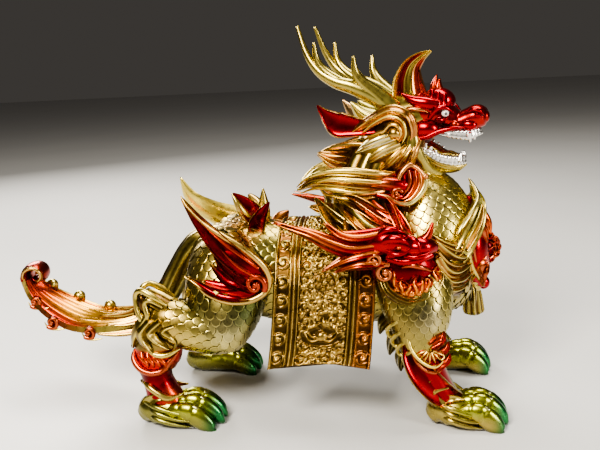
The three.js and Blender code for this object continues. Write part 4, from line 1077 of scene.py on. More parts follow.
def hip_flame(piece, side):
    """Hollowed red tongues that rise from a rimmed bowl on the right hip, and a horn on the left."""
    if side == LEFT:
        far_hip_horn(piece)
        return
    facing = (0, side, 0)
    # The red bowl that carries the tongues, and its continuous rim
    lock(piece, on_side([[12, 37, 75], [4, 40.4, 81], [-4, 41, 88.6], [-11, 40.6, 96.6]], side), 9.6, 3.6,
         mix(RED, MAROON, 0.55), section=30, thin=facing, steps=9)
    lock(piece, on_side([[13, 37, 74.6], [3, 40.4, 72.6], [-7, 40.6, 73.8], [-16, 40.4, 77.6]], side),
         5.4, 3.4, mix(RED, MAROON, 0.45), section=30, thin=facing, steps=9)
    rim = [[-25, 38, 119], [-21.5, 39.6, 113.6], [-14.4, 41, 106.6], [-6, 42.4, 100.6], [2.9, 43, 95],
           [10, 42.4, 89], [14.6, 41.4, 82.8], [15.6, 40.4, 76.2], [12.6, 41.2, 70.8], [5, 42.8, 67.6],
           [-5, 43.6, 67.8], [-14.4, 43.2, 71.4], [-20, 42.2, 76.2], [-26, 40.6, 79.8]]
    path = spline(on_side(rim, side), np.linspace(0, len(rim) - 1, 53))
    radius = 1.75 * np.clip(np.sin(math.pi * np.linspace(0.04, 0.97, 53)), 0.16, 0.75) / 0.75
    sweep(piece, np.column_stack([path, radius * 1.1, radius]), 14, mix(GOLD, PINK_GOLD, 0.25), steps=2,
          thin=facing)
    # Hollowed tongues that stream back, the highest far over the rump
    red = rimmed(mix(RED, PINK_GOLD, 0.5), mix(RED, MAROON, 0.3), MAROON, tip=GOLD, tip_from=0.8,
                 edge=0.87)
    for path, half_width, half_thickness in (
        ([[10, 38, 76], [5, 42, 84], [-3, 43, 92], [-10, 42, 99.6], [-17.6, 40.4, 108.6],
          [-24.6, 38.4, 118.4]], 5.6, 3.4),
        ([[9, 38, 75], [3.4, 43, 80.6], [-3.4, 43.4, 86.6], [-8.6, 42.4, 93.8], [-14.4, 40.8, 104.4]],
         4.0, 3.4),
        ([[8, 39, 73], [2.8, 43.4, 76.6], [-4, 43.2, 79.2], [-8, 42.2, 82.2], [-12.6, 41, 86.4]],
         3.2, 3.8),
        ([[9, 38, 70.6], [0, 43, 70.6], [-9, 43, 72], [-17, 41.6, 75.6], [-25, 40.2, 80]], 2.9, 3.9),
    ):
        lock(piece, on_side(path, side), half_width, half_thickness, red, section=FINE_HOLLOW,
             thin=(0, side, 0.15), steps=9)
    for path in (
        [[11, 42.4, 84], [4, 44.2, 90.4], [-4, 43.8, 96.6], [-12, 42, 103.6], [-19, 40.2, 111.4]],
        [[10, 43, 79.4], [3, 44.6, 84.8], [-3, 44.2, 90.4], [-8.4, 43, 97]],
    ):
        lock(piece, on_side(path, side), 1.1, 1.5, mix(RED, ORANGE, 0.25), section=14,
             thin=facing, steps=8)
    scroll(piece, (9.0, side * 42.4, 75.6), 5.2, 1.7, side, mix(RED, PINK_GOLD, 0.2), start=-0.6,
           turns=1.25)


def far_hip_horn(piece):
    """The tall smooth horn on the left hip, with hollowed leaves under it."""
    sweep(piece, [
        [11, 37, 71, 4, 6], [8, 41, 80, 4, 9], [-9.3, 42, 88, 3.8, 9], [-27.8, 41, 95, 3.4, 8],
        [-40, 39.5, 104, 2.6, 6], [-46, 38, 117, 0.5, 0.5],
    ], flame_section(1, 0.16, samples=30), graded(GOLD, PALE_GOLD, 0.1, 0.7), steps=10,
          thin_end=(0.4, 0.8, 0.35), pointed=True)
    for path, half_width, half_thickness in (
        ([[4, 38, 84], [-5, 41, 88], [-11, 41, 93], [-15, 40, 101]], 5, 4),
        ([[8, 38, 77], [-2, 42, 80], [-10, 42, 82], [-18, 41, 87]], 4, 4),
        ([[9, 37, 69], [-4, 42, 69], [-15, 41.5, 72.5], [-26, 40, 80]], 6, 5),
    ):
        lock(piece, path, half_width, half_thickness, rimmed(GOLD, RED, MAROON), section=HOLLOW,
             thin=(0, 1, 0), steps=8)
    scroll(piece, (7.5, 42, 76.5), 6.4, 2.0, LEFT, RED, start=-0.6, turns=1.3)


def back_flames(piece):
    """Leaves that stand on the back behind the cloth: cupped red ones with gold rims, and a gold spike."""
    red = rimmed(mix(GOLD, PINK_GOLD, 0.3), RED, MAROON, edge=0.87)
    for path, half_width, half_thickness, thin, colour in (
        ([[7, -3, 94], [5, -6, 100], [1.4, -7, 105.6], [-2.4, -6.6, 110], [-6.8, -6, 114]], 5.6,
         3.0, (0.4, -1, 0.3), red),
        ([[5, -4, 97], [-1, -7, 103.4], [-4, -7.4, 108.6], [-7, -6.4, 114.4]], 2.6, 2.4, (0.2, -1, 0.2),
         GOLD),
        ([[5, -8, 91], [6.4, -11.6, 98], [9.4, -13, 104], [13.6, -12.4, 110.4]], 4.6, 2.8, (0, -1, 0.1),
         rimmed(GOLD, mix(RED, MAROON, 0.5), MAROON, edge=0.87)),
        ([[8, 0, 94], [8.4, 0, 105], [8.5, 0, 115.5]], 3.5, 3.0, (0, -1, 0), GOLD),
        ([[6, 0, 92], [4, 4, 100], [2, 7, 106], [-1, 9, 111]], 5.5, 2.8, (0.4, 1, 0.3), red),
        ([[12, 4, 92], [16, 9, 97], [20, 11, 101]], 4.5, 3.0, (0, -1, 0), COPPER),
    ):
        section = FINE_HOLLOW if callable(colour) else 20
        lock(piece, path, half_width, half_thickness, colour, section=section, thin=thin, steps=9)


# A beast's head on each shoulder, with flames streaming back

GUARD_OUT = 38  # from the figure's middle plane to a guard's own plane


def guard_out(side, depth):
    """Y at a depth outside a guard's own plane."""
    return side * (GUARD_OUT + depth)


def guard_path(side, points):
    """Points x, depth and z of a guard, on one side of the figure."""
    return [[x, guard_out(side, depth), z] for x, depth, z in points]


def guard_head(piece, side):
    """The beast's jaw, brow, snout, cheek and eye."""

    def at(x, depth, z, thick, tall):
        return [x, guard_out(side, depth), z, thick, tall]

    def blush(share, section, points):
        low = smooth(-points[..., 2], -88, -80)
        return mix(RED, ORANGE, low * 0.4)

    facing = (0, side, 0)
    # The jaw's core, dark red inside the mouth as painted shade
    sweep(piece, [at(67, -6, 80, 5, 6), at(75, -4.5, 79, 8.4, 12), at(85, -4.2, 79, 8.4, 12.4),
                  at(95, -7, 79, 5.4, 8)], 32, mix(RED, MAROON, 0.75), steps=7)
    # The gold lip round the jaw
    sweep(piece, [
        at(69.5, 0, 83, 2, 2.4), at(71, 2.5, 74, 3, 3.2), at(76, 4, 69, 3, 3.4),
        at(83, 4.4, 66.5, 3, 3.4), at(91, 2.5, 68, 3, 3), at(96.5, -1, 73.5, 2.4, 2.6),
        at(98, -4, 79, 1.6, 1.8),
    ], both_faces(2, 0.25, samples=14), carved(GOLD, BROWN), steps=7)
    # The brow and snout, pinched behind the nose, and the lip under it
    sweep(piece, [
        at(64, -1, 93, 5, 5), at(71, 1.6, 95, 6.6, 6.4), at(78, 2.6, 94.6, 6.4, 6.2),
        at(83.6, 3.2, 92.6, 5.6, 4.6), at(88.6, 3.4, 92.6, 5.8, 4.8), at(92.2, 2.6, 92.2, 4.6, 4.0),
        at(94.6, 2, 91.4, 2.6, 2.6),
    ], 28, blush, steps=7)
    sweep(piece, [at(93, 3, 88.6, 1.6, 1.8), at(87, 5.6, 87.0, 2.2, 2.0), at(79, 5.4, 86.0, 2.0, 2.0),
                  at(72, 3, 87.6, 1.6, 1.8)], 14, RED)
    # The lumps of the brow, the knot of the cheek, the nose's wing and its nostril, a maroon ball of
    # painted shade
    for x, z, size, forward in (
        (71.6, 98.6, 4.4, 3.0), (78.6, 97.4, 4.0, 4.0), (84.2, 95.6, 3.0, 4.6), (70.2, 93.0, 3.4, 4.6),
        (74.6, 89.6, 2.6, 5.4), (89.4, 94.4, 3.2, 4.6), (84.6, 89.8, 2.6, 6.2),
    ):
        ball(piece, (x, guard_out(side, forward), z), (size, size * 0.9, size * 0.8), RED, rings=12,
             sides=18)
    ball(piece, (91.8, guard_out(side, 6.2), 92.8), (1.6, 1.6, 1.4), MAROON)
    # The eye on a maroon socket of painted shade, deep under its brow, and the wrinkles round it
    ball(piece, (77.4, guard_out(side, 7.0), 93.6), (3.6, 2.0, 2.3), MAROON, rings=12, sides=18)
    ball(piece, (77.8, guard_out(side, 8.2), 93.4), (1.4, 1.4, 1.2), mix(RED, ORANGE, 0.5))
    for points, half_width in (
        ([(70, 6, 95), (74.4, 9, 97.6), (79.6, 9.4, 97.2), (83.4, 7.6, 94.0)], 2.1),
        ([(72.4, 7, 91.4), (76.6, 9, 90.6), (80.6, 9, 91.2), (83.8, 7.8, 93.4)], 1.3),
        ([(68.0, 4, 98), (72.0, 6.4, 101.4), (77.0, 6.8, 101.6), (81.6, 6, 99.4)], 1.6),
        ([(82.6, 6.4, 98.2), (85.4, 8.2, 96.8), (87.4, 8.8, 94.0), (86.8, 8.8, 91.0)], 1.2),
        ([(80.6, 7.2, 89.2), (85.4, 8.8, 89.0), (90.0, 8.2, 89.8), (93.4, 6, 92.0)], 1.4),
    ):
        lock(piece, guard_path(side, points), half_width, 1.8, RED, section=14, thin=facing, steps=7)
    # The small horn over the snout
    spike(piece, guard_path(side, [(87, 3, 94), (91.2, 3.5, 97.4), (93.6, 3, 103.4)]), 3.0, 0.7,
          mix(RED, ORANGE, 0.15))


def guard_jaw(piece, side):
    """The tongue and the curling flames that fill the lower jaw, and the scrolls behind it."""
    facing = (0, side, 0)
    bead(piece, guard_path(side, [(79, 4, 82.6), (83.4, 6, 84.2), (88, 6, 83.2), (92.6, 3.6, 80.6)]),
         1.3, mix(RED, PINK_GOLD, 0.3), sides=12, taper=True)
    flame = carved(mix(ORANGE, AMBER, 0.3), mix(RED, MAROON, 0.3), mix(RED, ORANGE, 0.25), grooves=1,
                   from_share=0.5)
    for n in range(7):
        x = 75.4 + n * 3.2
        lean = 1.5 * math.sin(n * 2.4)
        rise = 8.6 + 1.8 * math.cos(n * 1.9)
        bow = 4.6 - 0.045 * (x - 83) ** 2
        base = 69.0 + 0.035 * (x - 84) ** 2
        path = [(x, bow - 1.5, base), (x + lean * 0.5, bow + 1.2, base + rise * 0.35),
                (x - lean * 0.6, bow + 1.4, base + rise * 0.7), (x + lean, bow, base + rise)]
        lock(piece, guard_path(side, path), 2.5, 2.2, flame, section=flame_section(1, 0.22, samples=18),
             thin=facing, steps=7)
    for n in range(6):
        x = 77 + n * 3.2
        bow = 5.4 - 0.045 * (x - 83) ** 2
        ball(piece, (x, guard_out(side, bow), 70.4 + 0.035 * (x - 84) ** 2), (1.8, 1.8, 2.0),
             mix(ORANGE, GOLD, 0.3))
    scroll(piece, (71.4, guard_out(side, 3.8), 80), 4.4, 1.4, side, mix(RED, PINK_GOLD, 0.55), start=1.2)
    scroll(piece, (66.8, guard_out(side, 5.4), 86.6), 3.4, 1.2, side, mix(RED, PINK_GOLD, 0.55),
           start=3.6, wind=-1)


def guard_flames(piece, side):
    """Long flames that stream back from the head, with a pale line along each."""
    facing = (0, side, 0)
    for points, half_width in (
        ([(72, 1, 99), (60, 3, 97), (51, 3, 98.5), (43, 1, 104.5)], 3.8),
        ([(70, 2, 93), (56, 4, 92), (46, 4, 95), (35, 3.5, 100), (18, 0, 105)], 4.8),
        ([(70, 2, 90), (59, 4, 88.5), (51, 4, 86), (41, 3, 81)], 3.4),
        ([(70, 2, 84), (61, 4, 84.5), (55, 4, 83.5), (47, 3, 80.5)], 3),
    ):
        lock(piece, guard_path(side, points), half_width, 4,
             carved(RED, mix(RED, MAROON, 0.6), mix(ORANGE, GOLD, 0.35), grooves=1, from_share=0.25),
             section=flame_section(1, 0.32, samples=24), thin=facing, steps=8)
        edge = [(x + 1, depth + 1.6, z + 1.4) for x, depth, z in points]
        lock(piece, guard_path(side, edge), 1.2, 2.4, mix(ORANGE, PINK_GOLD, 0.4), section=12,
             thin=facing, steps=8)


def shoulder_guard(piece, side):
    """A beast's head on the shoulder, its jaw full of flames, with long flames streaming back."""
    guard_head(piece, side)
    guard_jaw(piece, side)
    guard_flames(piece, side)


# Mane

MANE_LOCKS = [
    ([[80, 25, 99], [68, 26, 104], [57, 23, 111], [46, 19, 113.5]], 4.6),
    ([[76, 27, 93], [66, 27, 97], [57, 24, 104], [48, 20, 110]], 5),
    ([[68, 24, 90], [56, 23, 94], [46, 19, 102], [37, 14, 112]], 5.4),
    ([[62, 20, 90], [53, 18, 93], [45, 14, 99], [40, 9, 106]], 4.6),
    ([[83, 33, 92], [80, 30, 99], [76, 26, 106], [71.5, 22, 112.6]], 3.4),
]
# The breastplate's rim on its left, from the top to the point at its foot
PLATE_RIM = [
    [118.4, 3, 107], [116, 9, 99.6], [113, 15, 92.6], [111.6, 18.6, 86], [112, 18.8, 80], [114, 15.6, 74],
    [117.4, 9.6, 68], [120.4, 3.4, 63],
]


def flushed(points, gold, red):
    """Gold at the free ends of the mane, turning red towards the swirl and the guard."""
    share = smooth(points[..., 0], 46, 80) * (1 - 0.5 * smooth(points[..., 2], 116, 124))
    return mix(gold, red, share)


def flushing(gold, red):
    """The same for one form's lacquer."""
    return lambda share, section, points: flushed(points, gold, red)


def mane_tints(share, section, points):
    """A hollowed lock of the mane: rims, and a hollow that darkens to its middle as painted shade."""
    a, b = section[..., 0], np.abs(section[..., 1])
    rim = flushed(points, GOLD, mix(RED, ORANGE, 0.55))
    light = flushed(points, mix(OLIVE, GOLD, 0.35), mix(RED, ORANGE, 0.2))
    dark = flushed(points, BROWN, MAROON)
    on_rim = np.where((b > HOLLOW_RIM) | (a < 0), 1.0, 0.0)
    # Painted shade: the hollow darkens to dark in its middle
    return mix(mix(dark, light, smooth(b, 0.08, 0.6)), rim, on_rim)


def strand_colours(share, section, points):
    """The long locks: soft ridges of gold and pink gold, with brown painted shade in the grooves between
    them, paler at their tips.
    """
    ridge = 0.5 + 0.5 * np.cos(4 * math.pi * np.abs(section[..., 1]))
    top = mix(flushed(points, GOLD, mix(PINK_GOLD, RED, 0.4)), PALE_GOLD, smooth(share, 0.6, 1.0))
    low = flushed(points, mix(BROWN, COPPER, 0.4), MAROON)
    return mix(low, top, ridge)


def swirl(piece, side):
    """The wave beside the throat: a red bowl, the rim that turns round it, and folds that run down it."""
    facing = (0, side, 0)
    ball(piece, (83.6, side * 17.8, 118.0), (8.2, 3.8, 9.6), mix(RED, MAROON, 0.6), rings=16, sides=28)
    lock(piece, on_side([(86, 18, 116.4), (78, 20.6, 118), (71, 21.4, 119.4), (63.8, 21.4, 118.4)], side),
         4.0, 3.6, graded(RED, PINK_GOLD, 0.3, 0.8, 0.45),
         section=22, thin=facing, steps=9)
    lock(piece, on_side([(80, 21, 112.6), (75, 22.6, 112.6), (70, 22.8, 113.6), (64.4, 21.8, 116)], side),
         2.2, 2.2, RED, section=16, thin=facing, steps=8)
    rim = on_side([
        (64.2, 22, 117.4), (68.6, 23.2, 114.6), (73.4, 24, 113), (77.8, 23.8, 110.2), (82.4, 22.8, 109),
        (86.8, 21.2, 111.2), (90.2, 19.6, 115.2), (91.8, 18.8, 119.6), (89.8, 18.8, 123.2),
        (87.4, 19.2, 126), (84.0, 20, 127.6), (80.4, 21, 124.4), (78.4, 22, 120), (77.2, 23, 116),
        (78.4, 23.4, 112.8)], side)
    radius = 1.5 * np.sin(math.pi * np.linspace(0.08, 0.92, 15)) ** 0.5

    def rim_tints(share, section, points):
        pale = smooth(share, 0.18, 0.34) * (1 - smooth(share, 0.46, 0.6))
        return mix(PINK_GOLD, mix(PALE_GOLD, CREAM, 0.4), pale)

    sweep(piece, np.column_stack([rim, radius, radius]), 14, rim_tints, steps=6)
    for path, size, colour in (
        ([(88.8, 19.6, 123.4), (89.2, 19.8, 119.4), (87.6, 20.8, 115.2), (84.2, 22.2, 111.8),
          (80.6, 23, 110.6)], 1.5, mix(PINK_GOLD, ORANGE, 0.4)),
        ([(86.4, 20.2, 125), (86.8, 20.6, 120.2), (85.2, 21.6, 115.8), (82, 22.8, 112.6),
          (79.4, 23.2, 111.8)], 1.4, mix(RED, ORANGE, 0.45)),
        ([(83.6, 20.8, 125.4), (84.2, 21.2, 120.6), (82.8, 22, 116.4), (80.2, 23, 113.2)], 1.3,
         mix(RED, PINK_GOLD, 0.3)),
        ([(81.6, 21.4, 123.6), (81.4, 21.8, 119.6), (80.2, 22.6, 115.8)], 1.0, RED),
    ):
        lock(piece, on_side(path, side), size, 1.8, colour, section=14, thin=facing, steps=7)
    scroll(piece, (77.6, side * 23.6, 114.0), 3.0, 1.1, side, mix(RED, PINK_GOLD, 0.3), start=0.4,
           turns=1.1)
    ball(piece, (91.6, side * 19.2, 121.6), (1.7, 1.6, 1.7), PINK_GOLD)


def mane(piece):
    """Hollowed locks, the great pale lock and wavy tongues on both sides of a combed core."""
    sweep(piece, [
        [80, 2, 142, 9, 10], [70, 3, 132, 13, 13], [63, 2, 120, 16, 15], [60, 0, 107, 20, 16],
        [61, 0, 95, 19, 13], [64, 0, 84, 12, 9],
    ], twisted(96, 12, 0.05, 9), twisted_tints(BROWN, mix(GOLD, OLIVE, 0.4), 12, 9, 0.7))
    soft = flame_section(2, 0.24, samples=30)
    for side in SIDES:
        facing = (0, side, 0.2)
        for path, half_width in MANE_LOCKS:
            lock(piece, on_side(path, side), half_width, 6, mane_tints, section=RIBBED_HOLLOW,
                 thin=facing, steps=8)
        # The great lock that sweeps back to a blunt pale tip, and the fine strands along it
        great = on_side([[84, 9, 117.4], [73, 16.6, 118], [58, 19, 120], [45, 17, 121],
                 [36, 14, 120], [28, 11, 115.5]], side)
        lock(piece, great, 6.5, 6, strand_colours, section=soft, thin=facing, steps=9)
        for path, half_width in (
            ([[82, 11, 121.6], [70, 20.5, 124], [56, 21.6, 126], [44, 19.6, 125.6], [34, 16.4, 122.4],
              [27.6, 11.4, 117]], 1.9),
            ([[82, 12, 119], [70, 22.6, 120], [57, 24.4, 121.6], [46, 22.6, 122.4], [37, 19, 120],
              [29.6, 13.4, 116]], 1.5),
            ([[82, 12, 115], [69, 22, 115.4], [58, 24, 115.6], [47, 22.4, 117.4], [38, 18.4, 117.4],
              [29, 12.6, 114]], 1.7),
            ([[79, 12, 112], [66, 21, 112.6], [56, 22.4, 112], [47, 21, 113.6], [41, 18, 114.6]], 1.4),
        ):
            lock(piece, on_side(path, side), half_width, 1.9,
                 flushing(mix(GOLD, PALE_GOLD, 0.5), PINK_GOLD),
                 section=14, thin=facing, steps=8)
        # Long wavy tongues that rise from the guard, and the glowing hollows between them
        for path, half_width in (
            ([[84, 36.5, 96], [79, 33, 100], [71.5, 31, 102.8], [64.2, 28, 107.6], [56, 24, 112.6],
              [47.3, 19.4, 114.4]], 2.5),
            ([[84, 37, 94.6], [80.2, 36, 99.4], [77.8, 32, 104.6], [75.6, 28.4, 109.6],
              [72.4, 25, 113.6]], 2.4),
            ([[76, 34, 94], [66, 30, 96.4], [59.4, 28, 99.6], [53.2, 24, 105.6], [48.6, 20, 111]], 2.1),
            ([[66, 28, 89], [56, 27, 93.4], [53, 26, 99], [52.4, 24, 105.6], [49.3, 20, 112.4]], 1.8),
            ([[60, 26, 88.4], [51, 24, 92.6], [45, 21.6, 100.4], [41, 18, 107], [36.8, 14.4, 112.8]],
             1.8),
            ([[54, 24.6, 90], [45.6, 21.4, 95], [42, 18.6, 101.4], [38.4, 14.6, 108]], 1.4),
        ):
            lock(piece, on_side(path, side), half_width, 2.4,
                 flushing(mix(GOLD, PINK_GOLD, 0.35), mix(RED, ORANGE, 0.45)),
                 section=flame_section(1, 0.22, samples=22), thin=facing, steps=8)
        for path, half_width, colour in (
            ([[80, 34.6, 97], [74, 30.6, 101.6], [68.6, 27, 107], [66, 23.6, 112]], 4.4,
             mix(RED, ORANGE, 0.35)),
            ([[72, 31, 96], [64, 28.4, 100.6], [58, 25, 106], [54, 22.4, 110.6]], 3.6,
             mix(OLIVE, GOLD, 0.4)),
        ):
            lock(piece, on_side(path, side), half_width, 2.2, colour, section=20,
                 thin=facing, steps=8)
        swirl(piece, side)
    for n in range(3):
        x, z = 60 - n * 3, 130 - n * 13
        lock(piece, [[x + 4, 1, z - 6], [x - 6, 1, z - 3], [x - 14, 0, z - 1], [x - 22, 0, z + 3 - n]],
             7 - n, 7, carved(GOLD, COPPER, PALE_GOLD, grooves=2), section=both_faces(2, 0.25))


# Breastplate, collar, ribbons and tassel

ROSETTE = 81.0  # the height of the rosette's middle
TASSEL_TOP = 61.0


def drape(piece, side, path, thick, wide, colour, section):
    """A fold of cloth that hangs from a guard to the breastplate, tucked under both."""
    points = np.array(on_side(path, side))
    swell = np.array([0.7, 1.0, 1.05, 0.95, 0.7])[: len(points)]
    stations = np.column_stack([points, thick * swell, wide * swell])
    sweep(piece, stations, section, colour, steps=9, thin=(0.8, 0.6 * side, 0))


def breastplate(piece):
    """The plate, the flange behind it, its gold rim, and the creases between."""

    def plate_tints(share, section, points):
        across = np.abs(section[..., 1])
        return mix(mix(RED, MAROON, 0.6), RED, smooth(across, 0.2, 0.7))

    sweep(piece, [
        [112, 0, 105, 3, 3], [114.5, 0, 98, 6, 9], [115, 0, 88, 9, 15], [115, 0, 78, 10, 16],
        [116, 0, 69, 8, 11], [120, 0, 61, 2.6, 4],
    ], 40, plate_tints, steps=7, thin=(1, 0, 0))
    sweep(piece, [
        [114.6, 0, 107, 2.4, 3], [113.4, 0, 99.6, 4, 9.4], [111.8, 0, 92.6, 4.4, 15.2],
        [110.8, 0, 85, 4.8, 18.8], [111.6, 0, 78, 5, 18.4], [113.6, 0, 72, 4.6, 13.6],
        [116.8, 0, 66, 3.6, 7.4], [119.4, 0, 62, 2, 3],
    ], 30, mix(RED, MAROON, 0.5), steps=6, thin=(1, 0, 0))
    rim = np.array(PLATE_RIM, float)
    for side in SIDES:
        for inward, forward, radius, colour in (
            (0.0, 0.6, 1.3, mix(GOLD, PALE_GOLD, 0.3)), (0.15, 3.4, 0.8, mix(RED, PINK_GOLD, 0.5)),
            (0.34, 6.4, 1.0, mix(RED, PINK_GOLD, 0.2)), (0.5, 8.4, 0.7, RED),
        ):
            path = rim.copy()
            path[:, 1] *= 1 - inward
            path[:, 2] += (82 - path[:, 2]) * inward * 0.7
            path[:, 0] += forward * np.sqrt(np.clip(rim[:, 1] / 18.8, 0.1, 1))
            bead(piece, path * (1, side, 1), radius, colour, sides=12)


def rosette(piece):
    """Two rings of petals round a small boss, over a maroon dome that shows between them as painted shade.
    """
    ball(piece, (122.4, 0, ROSETTE), (5.4, 7.6, 8.0), MAROON, rings=14, sides=24)
    for petals, reach, depth, forward, colour in (
        (9, 8.6, 2.4, 123.6, RED),
        (6, 5.6, 2.0, 126.4, mix(RED, ORANGE, 0.2)),
    ):
        petal_tints = rimmed(mix(RED, PINK_GOLD, 0.3), colour, MAROON, edge=0.87)
        for n in range(petals):
            turn = 2 * math.pi * (n + 0.5) / petals
            y, z = math.cos(turn), math.sin(turn)
            petal = [
                [forward + ahead, out * y, ROSETTE + out * z]
                for ahead, out in ((1.2, 1.4), (depth, reach * 0.45), (depth * 0.6, reach * 0.78),
                                   (-1.8, reach))
            ]
            lock(piece, petal, reach * 0.34, 1.5, petal_tints, section=FINE_HOLLOW, thin=(1, 0, 0),
                 steps=6)
    ball(piece, (128.6, 0, ROSETTE), (2.2, 2.0, 2.0), mix(RED, ORANGE, 0.5), rings=12, sides=18)


def plate_flames(piece):
    """The flame leaves over and under the rosette, and the boss at the foot of the plate."""
    for side in SIDES:
        for path, half_width, colour in (
            ([[122, 3, 89], [121.6, 5.6, 94], [119, 4.4, 100], [117, 2.4, 106]], 2.7,
             mix(RED, ORANGE, 0.4)),
            ([[121, 8, 86], [119.8, 10.4, 91], [117.6, 9.6, 96], [116, 8, 100]], 2.2,
             mix(RED, ORANGE, 0.2)),
            ([[122, 5, 75], [121, 8.8, 71], [120, 8.4, 66], [121, 5, 61]], 2.6, RED),
            ([[121, 9, 79], [119, 13, 76], [118, 12.6, 71.6], [118.6, 9.6, 67]], 2.2, RED),
        ):
            lock(piece, on_side(path, side), half_width, 2.2,
                 rimmed(mix(RED, PINK_GOLD, 0.4), colour, MAROON, edge=0.87), section=FINE_HOLLOW,
                 thin=(1, 0.3 * side, 0), steps=6)
    lock(piece, [[123.6, 0, 88], [123.4, 0, 94], [120.6, 0, 100], [117.4, 0, 107]], 2.4, 2.4, ORANGE,
         section=16, thin=(1, 0, 0))
    ball(piece, (121.5, 0, 62), (3.4, 3.2, 3.6), RED, rings=12, sides=18)


def drapes(piece, side):
    """The folds that sag across the collar from a guard to the plate, and the fine edges between."""
    fold = carved(mix(GOLD, PALE_GOLD, 0.25), mix(COPPER, BROWN, 0.3), grooves=1)
    for path, thick, wide in (
        ([[93, 35.6, 96.4], [98, 33, 92.6], [103.2, 28.6, 89.6], [108, 23, 88.2], [112.6, 17, 88.8]],
         2.6, 2.0),
        ([[95.3, 36, 92.7], [99.2, 33.4, 88.2], [103.6, 28.6, 84.2], [108.1, 23, 82.2],
          [112.5, 17, 82.4]], 3.2, 2.6),
        ([[96.2, 36, 85.4], [99.1, 33.6, 79.6], [103.3, 29, 76.4], [108.1, 22.6, 76.2],
          [113.1, 16, 78.2]], 3.2, 2.8),
        ([[97.0, 35, 78.4], [100.6, 31.6, 73.0], [105.4, 26.4, 71.2], [109.7, 20.4, 71.6],
          [114.4, 13, 73.6]], 3.0, 2.4),
        ([[97.0, 33.4, 70.4], [102.3, 28.4, 67.0], [106.6, 22.4, 66.2], [111.2, 15.4, 67.0],
          [116.4, 8, 69.6]], 2.8, 2.2),
    ):
        drape(piece, side, path, thick, wide, fold, flame_section(1, 0.22, samples=24))
    for path in (
        [[94.6, 36.4, 94.0], [99, 34, 90.6], [104, 29.6, 87.4], [108.6, 23.6, 85.8],
         [112.6, 17.6, 86.2]],
        [[96, 37, 88.4], [99.8, 34.4, 83.0], [104, 30, 79.8], [108.8, 23.6, 79.0], [113, 17, 80.6]],
        [[97, 36, 81.4], [100.6, 33, 75.8], [105, 28, 73.6], [109.6, 21.6, 73.8], [114, 14.6, 75.8]],
        [[97.4, 34.6, 74], [102, 29.6, 69.8], [106.8, 23.8, 68.4], [111.4, 17, 69.2],
         [116, 9.6, 71.6]],
    ):
        drape(piece, side, path, 2.0, 0.85, mix(GOLD, PINK_GOLD, 0.35), 12)


def ribbon(piece, side):
    """The ribbon beside the plate: an olive hollow, its cream turned edge, and an orange fold."""
    olive = rimmed(mix(GOLD, OLIVE, 0.4), mix(OLIVE, GOLD, 0.3), mix(OLIVE, DEEP_GREEN, 0.4), tip=OLIVE,
                   tip_from=0.6)
    sweep(piece, on_side([
        [103, 26, 80, 3, 5], [109, 22, 89, 3.4, 6], [115, 14, 98, 3.4, 6],
        [118, 5, 105, 2.6, 4], [115, 2, 114, 0.5, 0.5],
    ], side), HOLLOW, olive, steps=9, thin=(1, 0.9 * side, 0), pointed=True)
    edge = [[105.0, 24.4, 85.6], [107.6, 22.6, 95], [113, 17.6, 102], [117.2, 10.6, 107.6],
            [117, 6.4, 111.6], [114.6, 3.0, 116.4]]
    bead(piece, on_side(edge, side), 1.35, mix(PALE_GOLD, CREAM, 0.4), sides=14, taper=True, steps=8)
    for line, half_width, colour in (
        ([[108.0, 24.2, 86.4], [113.2, 19.6, 92.4], [118, 12.6, 99], [120.2, 6.4, 105]], 2.6, AMBER),
        ([[107.4, 24.8, 84], [111.4, 22.4, 92], [116.4, 15.8, 99.4], [119.6, 8.6, 105.6]], 1.0, GOLD),
        ([[110.4, 22.4, 85], [115.4, 17.4, 91], [119.4, 10.6, 97.4], [120.8, 5, 103.4]], 1.1,
         mix(GOLD, PINK_GOLD, 0.3)),
    ):
        lock(piece, on_side(line, side), half_width, 1.5, colour, section=14,
             thin=(1, 0.9 * side, 0), steps=7)


def tassel(piece):
    """A ball with two side strands, and the combed tuft under its ring."""

    def groove_depth(share):
        return 0.16 * smooth(share, 0.2, 0.5)

    def strand_tints(share, section, points):
        # Brown painted shade in the tuft's grooves, olive gold on its strands
        reach = np.hypot(section[..., 0], section[..., 1])
        return mix(BROWN, mix(GOLD, OLIVE, 0.3), smooth(reach, 0.84, 1.0))

    ball(piece, (115, 0, TASSEL_TOP), (6, 6, 4.5), GOLD, rings=12, sides=20)
    for side in SIDES:
        ball(piece, (116, side * 4.6, 64.6), (3.0, 2.8, 3.2), GOLD, rings=12, sides=18)
        lock(piece, on_side([[115.6, 4, 63], [116, 6, 58], [116, 6.4, 53], [116, 5.6, 48.6]], side),
             1.6, 1.8, carved(GOLD, BROWN, PALE_GOLD, grooves=1),
             section=flame_section(1, 0.2, samples=20), thin=(0, side, 0))
    sweep(piece, [
        [115.5, 0, TASSEL_TOP, 3.4, 3.4], [116, 0, TASSEL_TOP - TASSEL_LENGTH * 0.35, 4.6, 4.8],
        [116.5, 0, TASSEL_TOP - TASSEL_LENGTH, 5.4, 5.8],
    ], twisted(80, 10, groove_depth), strand_tints, steps=10)
    level_ring(piece, (115.6, 0, TASSEL_TOP - 1.8), 3.9, 1.0, PALE_GOLD)


